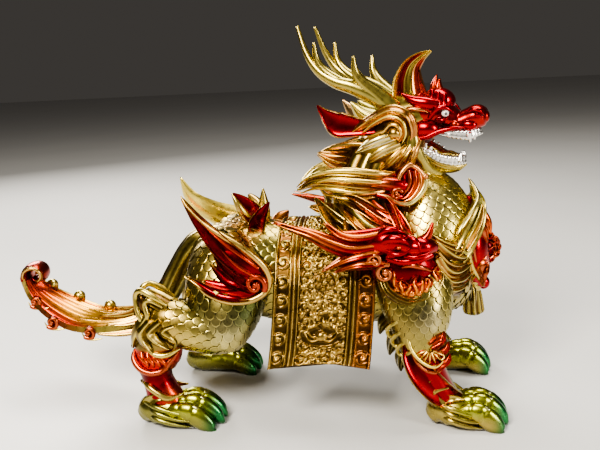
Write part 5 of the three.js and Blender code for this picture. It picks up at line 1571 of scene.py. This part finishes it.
def breast(piece):
    """The breastplate with its rosette, the draped collar, the ribbons and the tassel."""
    breastplate(piece)
    rosette(piece)
    plate_flames(piece)
    # The collar's hollow behind the drapes: olive gold, with brown painted shade down its grooves
    sweep(piece, [
        [88, -32, 79, 3, 9.5], [96, -30, 76, 3, 11.5], [103, -26.4, 74, 3, 12.5], [109, -19, 73, 3, 13],
        [112, 0, 71, 3, 12.5], [109, 19, 73, 3, 13], [103, 26.4, 74, 3, 12.5], [96, 30, 76, 3, 11.5],
        [88, 32, 79, 3, 9.5],
    ], flame_section(4, 0.3, samples=46), carved(mix(OLIVE, GOLD, 0.35), BROWN), thin=(1, 0, -0.1))
    for side in SIDES:
        drapes(piece, side)
        ribbon(piece, side)
    tassel(piece)


# Head, in a frame of its own: x forward along the muzzle, z up, the origin in the skull

def on_head(points):
    """Points of the head's own frame in the pose's frame."""
    turn = math.radians(-HEAD_TURN)
    x = points[:, 0] * math.cos(turn) - points[:, 1] * math.sin(turn)
    y = points[:, 0] * math.sin(turn) + points[:, 1] * math.cos(turn)
    return np.stack([x, y, points[:, 2]], axis=1) + np.asarray(HEAD_PLACE)


def antlers(piece):
    """Three-branched antlers with burrs at their roots."""
    horn = graded(mix(GOLD, OLIVE, 0.75), mix(GOLD, OLIVE, 0.3), 0.0, 0.8)
    for side in SIDES:
        for path, thick, fine in (
            ([[-8, 6, 2], [-22, 9.5, 12.5], [-33, 12, 18], [-42, 13.2, 21], [-50.5, 13.6, 26.5],
              [-57, 13.2, 35.5], [-62, 11.8, 49]], 5, 0.9),
            ([[-39, 12.6, 20.5], [-47, 13.5, 26], [-51, 14.3, 32], [-52.2, 14.7, 40.5]], 3.2, 0.8),
            ([[-13, 8, 6], [-21, 10, 13.5], [-27.5, 12.4, 19.5], [-31, 14, 25.5], [-31.5, 15, 32.8]],
             4.8, 0.8),
        ):
            spike(piece, on_side(path, side), thick, fine, horn, sides=24)
        for x, y, z in ((-9.5, 6.4, 3.2), (-11.5, 7, 4.8)):
            ball(piece, (x, side * y, z), (3.6, 5.8, 5.8), GOLD)


def ears(piece):
    """Long leaf-shaped ears, each from a shell with turned rims."""
    shell = carved(mix(GOLD, PINK_GOLD, 0.3), COPPER, PINK_GOLD, grooves=1)
    leaf = rimmed(mix(PINK_GOLD, CREAM, 0.3), mix(RED, MAROON, 0.35), MAROON, edge=0.87)
    for side in SIDES:
        facing = (0, side, 0)
        sweep(piece, on_side([
            [-20, 13, -2.2, 2.4, 3.6], [-28, 14.8, -1.8, 2.6, 4.4], [-35, 16, -0.8, 2.6, 5.8],
            [-40, 16.8, 0.2, 2.4, 6.6], [-44, 17.3, 3.2, 1.9, 4.6], [-47.5, 18, 6.6, 1.3, 2.2],
            [-50.5, 18.5, 10, 0.4, 0.4],
        ], side), FINE_HOLLOW, leaf, steps=8, thin=facing, pointed=True)
        # The ear's root: a shell whose depth is a brown ball of painted shade, with a broad turned rim,
        # finer rims inside it, and a rolled end
        ball(piece, (-12, side * 12.5, -3), (11, 3.6, 7.5), BROWN, sides=24)
        sweep(piece, on_side([
            [-33, 15, -4, 1.4, 1.4], [-27, 15.8, 0, 2.0, 2.2], [-19, 16.2, 4.4, 2.6, 2.6],
            [-11, 16.2, 6.6, 2.8, 2.7], [-4.6, 15.4, 3.2, 2.8, 2.7], [-2.6, 14, -3.6, 2.4, 2.5],
            [-4.2, 13, -10, 1.4, 1.6],
        ], side), flame_section(1, 0.3, samples=26), shell, steps=8, thin=facing)
        for path, radius, colour in (
            ([[-29, 15, -5.4], [-22, 15.8, -0.4], [-14, 16.2, 2.6], [-8.4, 15.8, 0.8], [-6.4, 15.2, -4.4],
              [-9.4, 15.2, -9.2]], 1.2, COPPER),
            ([[-28, 15.6, -4.4], [-21, 16.6, 0.8], [-13.6, 17, 3.6], [-7.4, 16.8, 1.6], [-5.4, 16, -4.4],
              [-7.6, 15.6, -9.8]], 0.6, PALE_GOLD),
            ([[-27, 15, -7.4], [-20, 16, -4.6], [-16.4, 16.6, -3.4], [-13.2, 17, -0.6], [-9.6, 17, -1.0],
              [-7.8, 16.4, -4.6], [-9.4, 16, -8.2]], 0.9, mix(PINK_GOLD, PALE_GOLD, 0.5)),
        ):
            bead(piece, on_side(path, side), radius, colour, steps=7, taper=True, sides=12)
        ball(piece, (-11.6, side * 15.4, -5.0), (3.5, 3.0, 3.4), mix(GOLD, COPPER, 0.45), rings=14,
             sides=24)


def beard(piece):
    """The pale locks behind the jaw, the crescent lock, and the gold band at the hinge."""
    broad = flame_section(2, 0.14, samples=26)
    cream = (mix(CREAM, WHITE, 0.35), mix(PALE_GOLD, OLIVE, 0.15), CREAM)
    warm = (mix(GOLD, PALE_GOLD, 0.5), COPPER, PINK_GOLD)
    for side in SIDES:
        facing = (0, side, 0.2)
        for path, half_width, colours in (
            ([[-12, 13, -7], [-19, 16, -9], [-26, 17, -12], [-31.5, 17, -14.6]], 4.4, cream),
            ([[-10, 12, -11], [-17, 15.5, -14], [-23, 16.5, -18], [-28.6, 16.5, -21]], 4.2,
             (mix(CREAM, PALE_GOLD, 0.4), mix(COPPER, GOLD, 0.6), CREAM)),
            ([[-6, 11, -12], [-11, 14.6, -17], [-16, 15.6, -21.6], [-21, 15.6, -25]], 3.6, warm),
            ([[-3, 10, -10], [-6, 13.6, -15], [-9.4, 14.4, -19.6], [-13.4, 14.4, -24]], 3.2, warm),
            ([[0, 9, -9], [-1.4, 12.6, -14], [-3.6, 13.2, -18.6], [-7, 13.2, -22.6]], 2.6,
             (mix(GOLD, PINK_GOLD, 0.4), COPPER, GOLD)),
            ([[-16, 5, -4], [-24, 6, 0], [-31, 6, 4], [-37, 6, 10.5]], 5.8,
             (mix(GOLD, OLIVE, 0.4), OLIVE, PALE_GOLD)),
        ):
            lock(piece, on_side(path, side), half_width, 4.0, carved(*colours), section=broad,
                 thin=facing, steps=7)
        # The crescent lock behind the cheek, hollowed at its upper side
        lock(piece, on_side([[-18, 8, -12], [-30, 11, -15], [-43, 11, -17], [-55, 9, -16]], side),
             7, 4.4, rimmed(GOLD, OLIVE, BROWN), section=HOLLOW, thin=facing, steps=8)
        for line, half_width in (
            ([[-28, 14.8, -20.6], [-37, 14.6, -22], [-46, 13.6, -20.2], [-55, 11, -16]], 2.6),
            ([[-27, 14, -10.5], [-36, 14, -10.4], [-46, 13, -12.4], [-54.5, 10.6, -15.6]], 1.8),
        ):
            lock(piece, on_side(line, side), half_width, 1.8, carved(GOLD, COPPER, PALE_GOLD, grooves=1),
                 section=16, thin=facing, steps=8)
        # The gold band at the hinge of the jaw
        sweep(piece, on_side([
            [-4, 11.4, -4, 2.6, 3.2], [-3, 12.2, -11, 3.0, 3.8], [-1, 10.8, -18, 3.0, 4.2],
            [3, 7.4, -24, 2.6, 3.6], [8, 3, -27, 1.6, 2.4],
        ], side), 20, mix(OLIVE, GOLD, 0.6), steps=7, thin=(0, side, 0))


def teeth(piece):
    """Silver plates of teeth along each jaw, parted by fine notches, with a fang at each front corner."""
    upper = [[9, 7.9, -5.4, 1.2, 1.2], [14, 7.6, -5.9, 1.3, 2.1], [18, 7.0, -6.5, 1.3, 2.3],
             [22, 5.9, -6.8, 1.4, 2.5], [25.6, 3.6, -6.0, 1.3, 2.1], [27.2, 0, -5.6, 1.3, 1.9]]
    lower = [[0.5, 8.4, -13.2, 1.2, 1.4], [4.5, 8.0, -15.9, 1.4, 2.2], [8, 7.5, -18.0, 1.4, 2.5],
             [12, 6.6, -19.2, 1.5, 2.6], [16, 4.9, -19.8, 1.5, 2.6], [18.6, 2.5, -19.9, 1.4, 2.4],
             [19.2, 0, -19.9, 1.4, 2.2]]
    slab = mirrored([[0.8, 0], [1, 0.35], [0.92, 0.75], [0.6, 0.96], [0, 1], [-0.6, 0.96], [-0.92, 0.75],
                     [-1, 0.35], [-0.8, 0]])
    for rows, parts in ((upper, 10), (lower, 12)):
        rows = np.array(rows)
        whole = np.concatenate([rows, rows[-2::-1] * (1, -1, 1, 1, 1)])
        notches = (np.arange(2 * parts) + 0.5) / (2 * parts)
        sweep(piece, whole, slab, mix(SILVER, WHITE, 0.5), steps=14, thin=(0, 1, 0), thin_end=(0, -1, 0),
              creases=notches, crease=0.17)
    for side in SIDES:
        for root, tip, thick in (
            ([22.8, 5.7, -6.2], [23.6, 5.5, -10.2], 1.9), ([18.0, 4.2, -19.6], [18.8, 4.0, -16.2], 1.8),
            ([2.0, 8.2, -13.6], [2.4, 8.2, -10.6], 1.1), ([4.6, 8.0, -15.0], [5.0, 8.0, -12.4], 1.1),
            ([7.0, 7.8, -16.4], [7.3, 7.8, -14.2], 1.0),
        ):
            middle = [(a + b) / 2 for a, b in zip(root, tip)]
            path = on_side((root, middle, tip), side)
            spike(piece, path, thick, 0.6, mix(SILVER, WHITE, 0.5), sides=12)
        # Gold gums outside the teeth, and the wavy edge of the tongue
        gum = [[0, 8.8, -15], [4.5, 8.6, -18], [8.5, 8, -20.4], [13, 6.8, -21.8], [17, 4.6, -22.6],
               [19.6, 2, -22.4]]
        tongue = [[2, 5.0, -12.6], [6, 4.8, -14.0], [9, 4.6, -16.4], [12.6, 3.6, -16.6], [16, 1.8, -18]]
        bead(piece, on_side(gum, side), 1.0, GOLD, steps=6)
        bead(piece, on_side(tongue, side), 0.9, GOLD, steps=6)


# The crest across its width, from its front edge at -1 to its rim at 1
CREST_SIDE = [
    [0, 1], [0.7, 0.99], [1.05, 0.95], [1.12, 0.88], [0.98, 0.80], [0.55, 0.74], [0.38, 0.66],
    [0.46, 0.6], [0.3, 0.53], [0.38, 0.45], [0.3, 0.36], [0.45, 0.3], [0.72, 0.24], [0.66, 0.17],
    [0.3, 0.1], [0.2, -0.03], [0.26, -0.16], [0.6, -0.26], [0.8, -0.32], [0.72, -0.4], [0.42, -0.5],
    [0.36, -0.65], [0.5, -0.8], [0.55, -0.9], [0.3, -0.98], [0, -1],
]
CREST_BANDS = (
    (-1.1, PINK_GOLD), (-0.93, mix(RED, ORANGE, 0.2)), (-0.41, PINK_GOLD), (-0.24, mix(OLIVE, GOLD, 0.6)),
    (0.12, GOLD), (0.25, mix(RED, PINK_GOLD, 0.35)), (0.36, mix(RED, ORANGE, 0.15)),
    (0.56, mix(RED, MAROON, 0.5)), (0.64, mix(RED, ORANGE, 0.15)), (0.74, PALE_GOLD),
)


def crest_tints(share, section, points):
    """Bands along the crest, running into its gold tip."""
    b = section[..., 1]
    colour = np.zeros(b.shape + (3,))
    for low, lacquer in CREST_BANDS:
        colour = np.where((b >= low)[..., None], np.asarray(lacquer), colour)
    return mix(colour, GOLD, smooth(share, 0.76, 0.92))


def face(piece):
    """Skull, muzzle, jaws, crest, brows, lips, nose and cheeks."""
    skull = mix(OLIVE, GOLD, 0.6)
    ball(piece, (-7, 0, 2), (15, 12.5, 12), skull, rings=18, sides=28)
    sweep(piece, [
        [-2, 0, 4, 11, 10], [8, 0, 3, 9.6, 7.6], [13, 0, 0.6, 8.4, 6.0], [17.4, 0, -0.8, 7.2, 4.9],
        [21.6, 0, 0.2, 6.6, 5.4], [26, 0, 1.4, 6.4, 6.0], [29.4, 0, 1.4, 4.6, 4.6],
        [30.6, 0, 1.4, 2.6, 2.8],
    ], 40, mix(RED, ORANGE, 0.06), steps=8)
    ball(piece, (7, 0, 9), (8.5, 7.5, 7), RED, rings=14, sides=24)
    sweep(piece, [
        [-8, 0, -10, 9, 6], [0, 0, -16.5, 9, 5.2], [8, 0, -21.5, 8, 4.4], [14.5, 0, -23, 6, 3.4],
        [18.5, 0, -22, 3, 2.2],
    ], 30, mix(OLIVE, GOLD, 0.55))
    sweep(piece, [[0, 0, -11, 5, 2], [8, 0, -15.6, 4.6, 1.8], [15, 0, -18.4, 1.8, 1]], 20, COPPER)
    sweep(piece, [
        [-6, 0, 5, 5.4, 9.5], [-7.5, 0, 13, 5, 8.6], [-7.8, 0, 20, 4.2, 7.2], [-6, 0, 26.5, 3.2, 4.8],
        [-1.5, 0, 31, 2, 2.6], [3.8, 0, 33.8, 0.5, 0.5],
    ], both_halves(CREST_SIDE), crest_tints, steps=10, pointed=True)
    for x, z, tip in ((5.4, 12, 22.5), (7.6, 12, 20.5)):
        lock(piece, [[x + 1, 0, z], [x - 0.6, 0, z + 4], [x + 0.4 * (tip - 20), 0, tip]], 2.4,
             3.0, mix(RED, ORANGE, 0.25), section=16)
    # The mouth's inside, a maroon ball of painted shade
    ball(piece, (-3, 0, -9), (6, 12.5, 7.5), MAROON, rings=14, sides=24)
    teeth(piece)
    for side in SIDES:
        facing = (0, side, 0)
        # The cheek and its lip, the brow's smooth wedge, and the ridge over the eye
        ball(piece, (1.6, side * 8.2, -3.6), (7.6, 5.0, 5.2), RED, rings=16, sides=26)
        ball(piece, (-1.5, side * 9.6, -6.2), (3.4, 3, 3.2), mix(RED, MAROON, 0.4), rings=12, sides=18)
        lock(piece, on_side([[8.5, 7.2, 8.0], [3, 9.2, 8.8], [-3.6, 9.6, 10.6], [-9.6, 8.8, 14.2]], side),
             3.4, 3.0, RED, section=22, thin=facing, steps=9)
        lock(piece, on_side([[-10, 9.6, 2], [-6, 11.2, 6], [0, 11.2, 6.2], [5, 9.8, 4.4]], side),
             1.5, 2.0, PINK_GOLD, section=16, thin=facing, steps=8)
        lock(piece, on_side([[4.6, 9.4, 1.8], [8.4, 10.2, 6.0], [12.6, 9.6, 6.8], [16.6, 7.4, 3.8]],
                            side), 1.5, 1.8, RED, section=16, thin=facing, steps=8)
        for n in range(3):
            x = 5.6 + 2.9 * n
            top = 14.4 - 1.2 * n
            wrinkle = [[x - 0.8, 5.0 - 0.3 * n, top], [x, 7.6 - 0.3 * n, top - 3.4],
                       [x + 0.3, 8.8 - 0.4 * n, 7.2 - 0.4 * n]]
            spike(piece, on_side(wrinkle, side), 1.7, 1.3, RED)
        # The socket, a maroon ball of painted shade, the eye's lower lid, and the nose's wing and its
        # nostril, a maroon ball of painted shade
        ball(piece, (9.4, side * 8.4, 0.8), (3.0, 1.6, 2.4), MAROON, rings=10, sides=16)
        lock(piece, on_side([[8.2, 9.0, 1.6], [11.2, 10.2, 0.9], [14.4, 9.2, 1.8]], side), 0.9, 1.2, RED,
             section=12, thin=facing)
        ball(piece, (27.0, side * 4.3, 2.8), (2.6, 2.2, 2.6), mix(RED, MAROON, 0.2), rings=12, sides=18)
        ball(piece, (28.6, side * 5.2, 3.4), (1.3, 1.3, 1.5), MAROON)
        lock(piece, on_side([[22.4, 5.6, 4.4], [25.6, 6.9, 5.4], [28.8, 6.3, 4.4], [30.2, 4.2, 2.2]],
                            side), 1.1, 1.4, RED, section=14, thin=facing, steps=8)
        # The upper lip, lifted over the fang
        lip = [[-2, 10.6, -7.6], [3, 10.8, -7.4], [9, 9.8, -4.8], [15, 8.8, -3.4], [20, 7.8, -3.2],
               [24.6, 6.6, -4.2]]
        lock(piece, on_side(lip, side), 1.5, 1.9, RED, section=16, thin=facing, steps=8)
        ball(piece, (22.6, side * 5.6, -2.2), (4.4, 2.6, 2.8), RED, rings=12, sides=20)
        ball(piece, (16.4, side * 7.0, -1.8), (2.6, 2.0, 2.2), mix(RED, ORANGE, 0.15), rings=10, sides=16)


def eyes(piece):
    """White eyes with dark pupils."""
    for side in SIDES:
        ball(piece, (12.2, side * 8.5, 4.0), (1.85, 1.9, 1.85), WHITE, rings=12, sides=20)
        ball(piece, (12.9, side * 10.15, 3.9), (0.75, 0.5, 0.75), BLACK)


# Materials

# Noise keeps mostly between these values
NOISE_LOW = 0.3
NOISE_HIGH = 0.7
# How often the noise repeats in a metre
CLOUD_SCALE = 110.0
GLOSS_SCALE = 420.0
GRAIN_SCALE = 700.0
ENAMEL_SCALE = 600.0
FLOOR_SCALE = 6.0
GRAIN_DEPTH = 0.00006  # metres


def noise(tree, scale, detail=3.0):
    """Noise over the piece's own place, so that every side is covered alike."""
    place = tree.nodes.new("ShaderNodeTexCoord")
    texture = tree.nodes.new("ShaderNodeTexNoise")
    texture.inputs["Scale"].default_value = scale
    texture.inputs["Detail"].default_value = detail
    tree.links.new(place.outputs["Object"], texture.inputs["Vector"])
    return texture.outputs["Fac"]


def mapped(tree, value, low, high):
    """Noise spread from low to high."""
    node = tree.nodes.new("ShaderNodeMapRange")
    node.inputs["From Min"].default_value = NOISE_LOW
    node.inputs["From Max"].default_value = NOISE_HIGH
    node.inputs["To Min"].default_value = low
    node.inputs["To Max"].default_value = high
    tree.links.new(value, node.inputs["Value"])
    return node.outputs["Result"]


def lacquer_material():
    """Clear tinted lacquer over metal: cloudy in tint, uneven in gloss, with the casting's fine skin."""
    material = bpy.data.materials.new("metallic_lacquer")
    material.use_nodes = True
    tree = material.node_tree
    shader = tree.nodes["Principled BSDF"]
    shader.inputs["Metallic"].default_value = 1.0
    shader.inputs["Coat Weight"].default_value = 0.15
    shader.inputs["Coat Roughness"].default_value = 0.06
    tint = tree.nodes.new("ShaderNodeAttribute")
    tint.attribute_name = "lacquer"
    cloud = tree.nodes.new("ShaderNodeMix")
    cloud.data_type = "RGBA"
    cloud.blend_type = "MULTIPLY"
    cloud.inputs["Factor"].default_value = 1.0
    tree.links.new(tint.outputs["Color"], cloud.inputs["A"])
    tree.links.new(mapped(tree, noise(tree, CLOUD_SCALE), 0.82, 1.10), cloud.inputs["B"])
    tree.links.new(cloud.outputs["Result"], shader.inputs["Base Color"])
    tree.links.new(mapped(tree, noise(tree, GLOSS_SCALE, 5.0), 0.25, 0.33), shader.inputs["Roughness"])
    bump = tree.nodes.new("ShaderNodeBump")
    bump.inputs["Strength"].default_value = 0.25
    bump.inputs["Distance"].default_value = GRAIN_DEPTH
    tree.links.new(noise(tree, GRAIN_SCALE), bump.inputs["Height"])
    tree.links.new(bump.outputs["Normal"], shader.inputs["Normal"])
    return material


def enamel_material():
    """Glossy opaque enamel for the eyes, with a faint cloudiness."""
    material = bpy.data.materials.new("eye_enamel")
    material.use_nodes = True
    tree = material.node_tree
    shader = tree.nodes["Principled BSDF"]
    shader.inputs["Metallic"].default_value = 0.0
    shader.inputs["Coat Weight"].default_value = 0.5
    tint = tree.nodes.new("ShaderNodeAttribute")
    tint.attribute_name = "lacquer"
    tree.links.new(tint.outputs["Color"], shader.inputs["Base Color"])
    tree.links.new(mapped(tree, noise(tree, ENAMEL_SCALE), 0.15, 0.24), shader.inputs["Roughness"])
    return material


# Faces that meet at more degrees than this are shaded apart
SHARP = 38.0
CLOTH_SHARP = 80.0


def make(shells, material, sharp):
    """A piece of the figure from its shells."""
    points = to_row(np.concatenate(shells.points))
    mesh = bpy.data.meshes.new(shells.name)
    mesh.from_pydata(points.tolist(), [], shells.faces)
    colours = np.concatenate(shells.colours)
    attribute = mesh.color_attributes.new("lacquer", "FLOAT_COLOR", "POINT")
    opaque = np.column_stack([colours, np.ones(len(colours))])
    attribute.data.foreach_set("color", opaque.astype(np.float32).ravel())
    mesh.polygons.foreach_set("use_smooth", np.ones(len(mesh.polygons), bool))
    mesh.set_sharp_from_angle(angle=math.radians(sharp))
    mesh.materials.append(material)
    mesh.validate()
    piece = bpy.data.objects.new(shells.name, mesh)
    bpy.context.scene.collection.objects.link(piece)
    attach(piece, "root")
    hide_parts(NODE)


# Camera, lights and floor

# The photo's view: degrees round from the figure's right side, above it and of roll, and millimetres
AZIMUTH = 7.0
ELEVATION = 12.5
ROLL = -3.0
DISTANCE = 400.0
TARGET = (27.0, 0.0, 95.0)
SENSOR_MM = 36.0
LENS_MM = 45.6


def camera():
    """The camera, turned to the photo's view."""
    azimuth, elevation, roll = (math.radians(angle) for angle in (AZIMUTH, ELEVATION, ROLL))
    flat = math.cos(elevation)
    back = Vector((math.sin(azimuth) * flat, -math.cos(azimuth) * flat, math.sin(elevation)))
    level = (-back).cross(Vector((0, 0, 1))).normalized()
    upright = back.cross(level)
    right = level * math.cos(roll) + upright * math.sin(roll)
    up = upright * math.cos(roll) - level * math.sin(roll)
    place = Vector(to_row(TARGET)) + back * DISTANCE * MM
    data = bpy.data.cameras.new("camera")
    data.sensor_width = SENSOR_MM
    data.lens = LENS_MM
    data.clip_start = 0.01
    seen = bpy.data.objects.new("camera", data)
    turned = Matrix((right, up, back)).transposed().to_4x4()
    seen.matrix_world = Matrix.Translation(place) @ turned
    bpy.context.scene.collection.objects.link(seen)
    bpy.context.scene.camera = seen


FLOOR_REACH = 4.0  # metres
# Lamps as name, place, size, watts and colour, all turned to the figure's middle
FIGURE_MIDDLE = (0.0, 0.0, 0.09)
LAMPS = (
    ("key", (-0.25, -0.70, 0.75), (0.34, 0.30), 18.0, (1.0, 0.93, 0.82)),
    ("fill", (0.85, -0.55, 0.40), (0.22, 0.40), 8.0, (1.0, 0.96, 0.90)),
    ("top", (0.15, 0.15, 0.95), (0.7, 0.24), 10.0, (1.0, 0.95, 0.86)),
    ("rim", (-0.5, 0.7, 0.5), (0.4, 0.3), 8.0, (1.0, 0.95, 0.88)),
)


def softbox(name, place, size, power, colour):
    """A soft rectangular lamp that is turned to the figure's middle."""
    data = bpy.data.lights.new(name, "AREA")
    data.shape = "RECTANGLE"
    data.size, data.size_y = size
    data.energy = power
    data.color = colour
    light = bpy.data.objects.new(name, data)
    light.location = place
    light.rotation_euler = (Vector(FIGURE_MIDDLE) - Vector(place)).to_track_quat("-Z", "Y").to_euler()
    bpy.context.scene.collection.objects.link(light)


def studio():
    """The lamps, a dim warm surround, and the picture's contrast."""
    for lamp in LAMPS:
        softbox(*lamp)
    world = bpy.data.worlds.new("studio")
    world.use_nodes = True
    background = world.node_tree.nodes["Background"]
    background.inputs["Color"].default_value = (0.50, 0.46, 0.42, 1)
    background.inputs["Strength"].default_value = 0.12
    bpy.context.scene.world = world
    bpy.context.scene.view_settings.look = "AgX - Medium High Contrast"


def floor():
    """The plain pale floor."""
    mesh = bpy.data.meshes.new("floor")
    corners = [(FLOOR_REACH * x, FLOOR_REACH * y, 0) for x, y in ((-1, -1), (1, -1), (1, 1), (-1, 1))]
    mesh.from_pydata(corners, [], [(0, 1, 2, 3)])
    material = bpy.data.materials.new("pale_floor")
    material.use_nodes = True
    tree = material.node_tree
    shader = tree.nodes["Principled BSDF"]
    shader.inputs["Base Color"].default_value = (0.60, 0.60, 0.59, 1)
    tree.links.new(mapped(tree, noise(tree, FLOOR_SCALE), 0.42, 0.5), shader.inputs["Roughness"])
    mesh.materials.append(material)
    ground = bpy.data.objects.new("floor", mesh)
    bpy.context.scene.collection.objects.link(ground)


camera()
studio()
floor()
lacquer = lacquer_material()
PIECES = ("qilin_body", "qilin_hind_legs", "qilin_fore_legs", "qilin_scales", "qilin_mane",
          "qilin_guards", "qilin_breast", "qilin_tail", "saddle_cloth")
lacquered = [Shells(name) for name in PIECES] + [Shells("qilin_head", on_head)]
trunk, hind_legs, fore_legs, scales, locks, guards, chest, plume, cloth, head = lacquered
balls = Shells("qilin_eyes", on_head)
body(trunk, scales)
tail(plume)
saddle_cloth(cloth)
back_flames(guards)
mane(locks)
breast(chest)
face(head)
eyes(balls)
antlers(head)
ears(head)
beard(head)
for side in SIDES:
    hind_leg(hind_legs, scales, side)
    fore_leg(fore_legs, scales, side)
    hip_flame(guards, side)
    shoulder_guard(guards, side)
for shells in lacquered:
    make(shells, lacquer, CLOTH_SHARP if shells is cloth else SHARP)
make(balls, enamel_material(), SHARP)
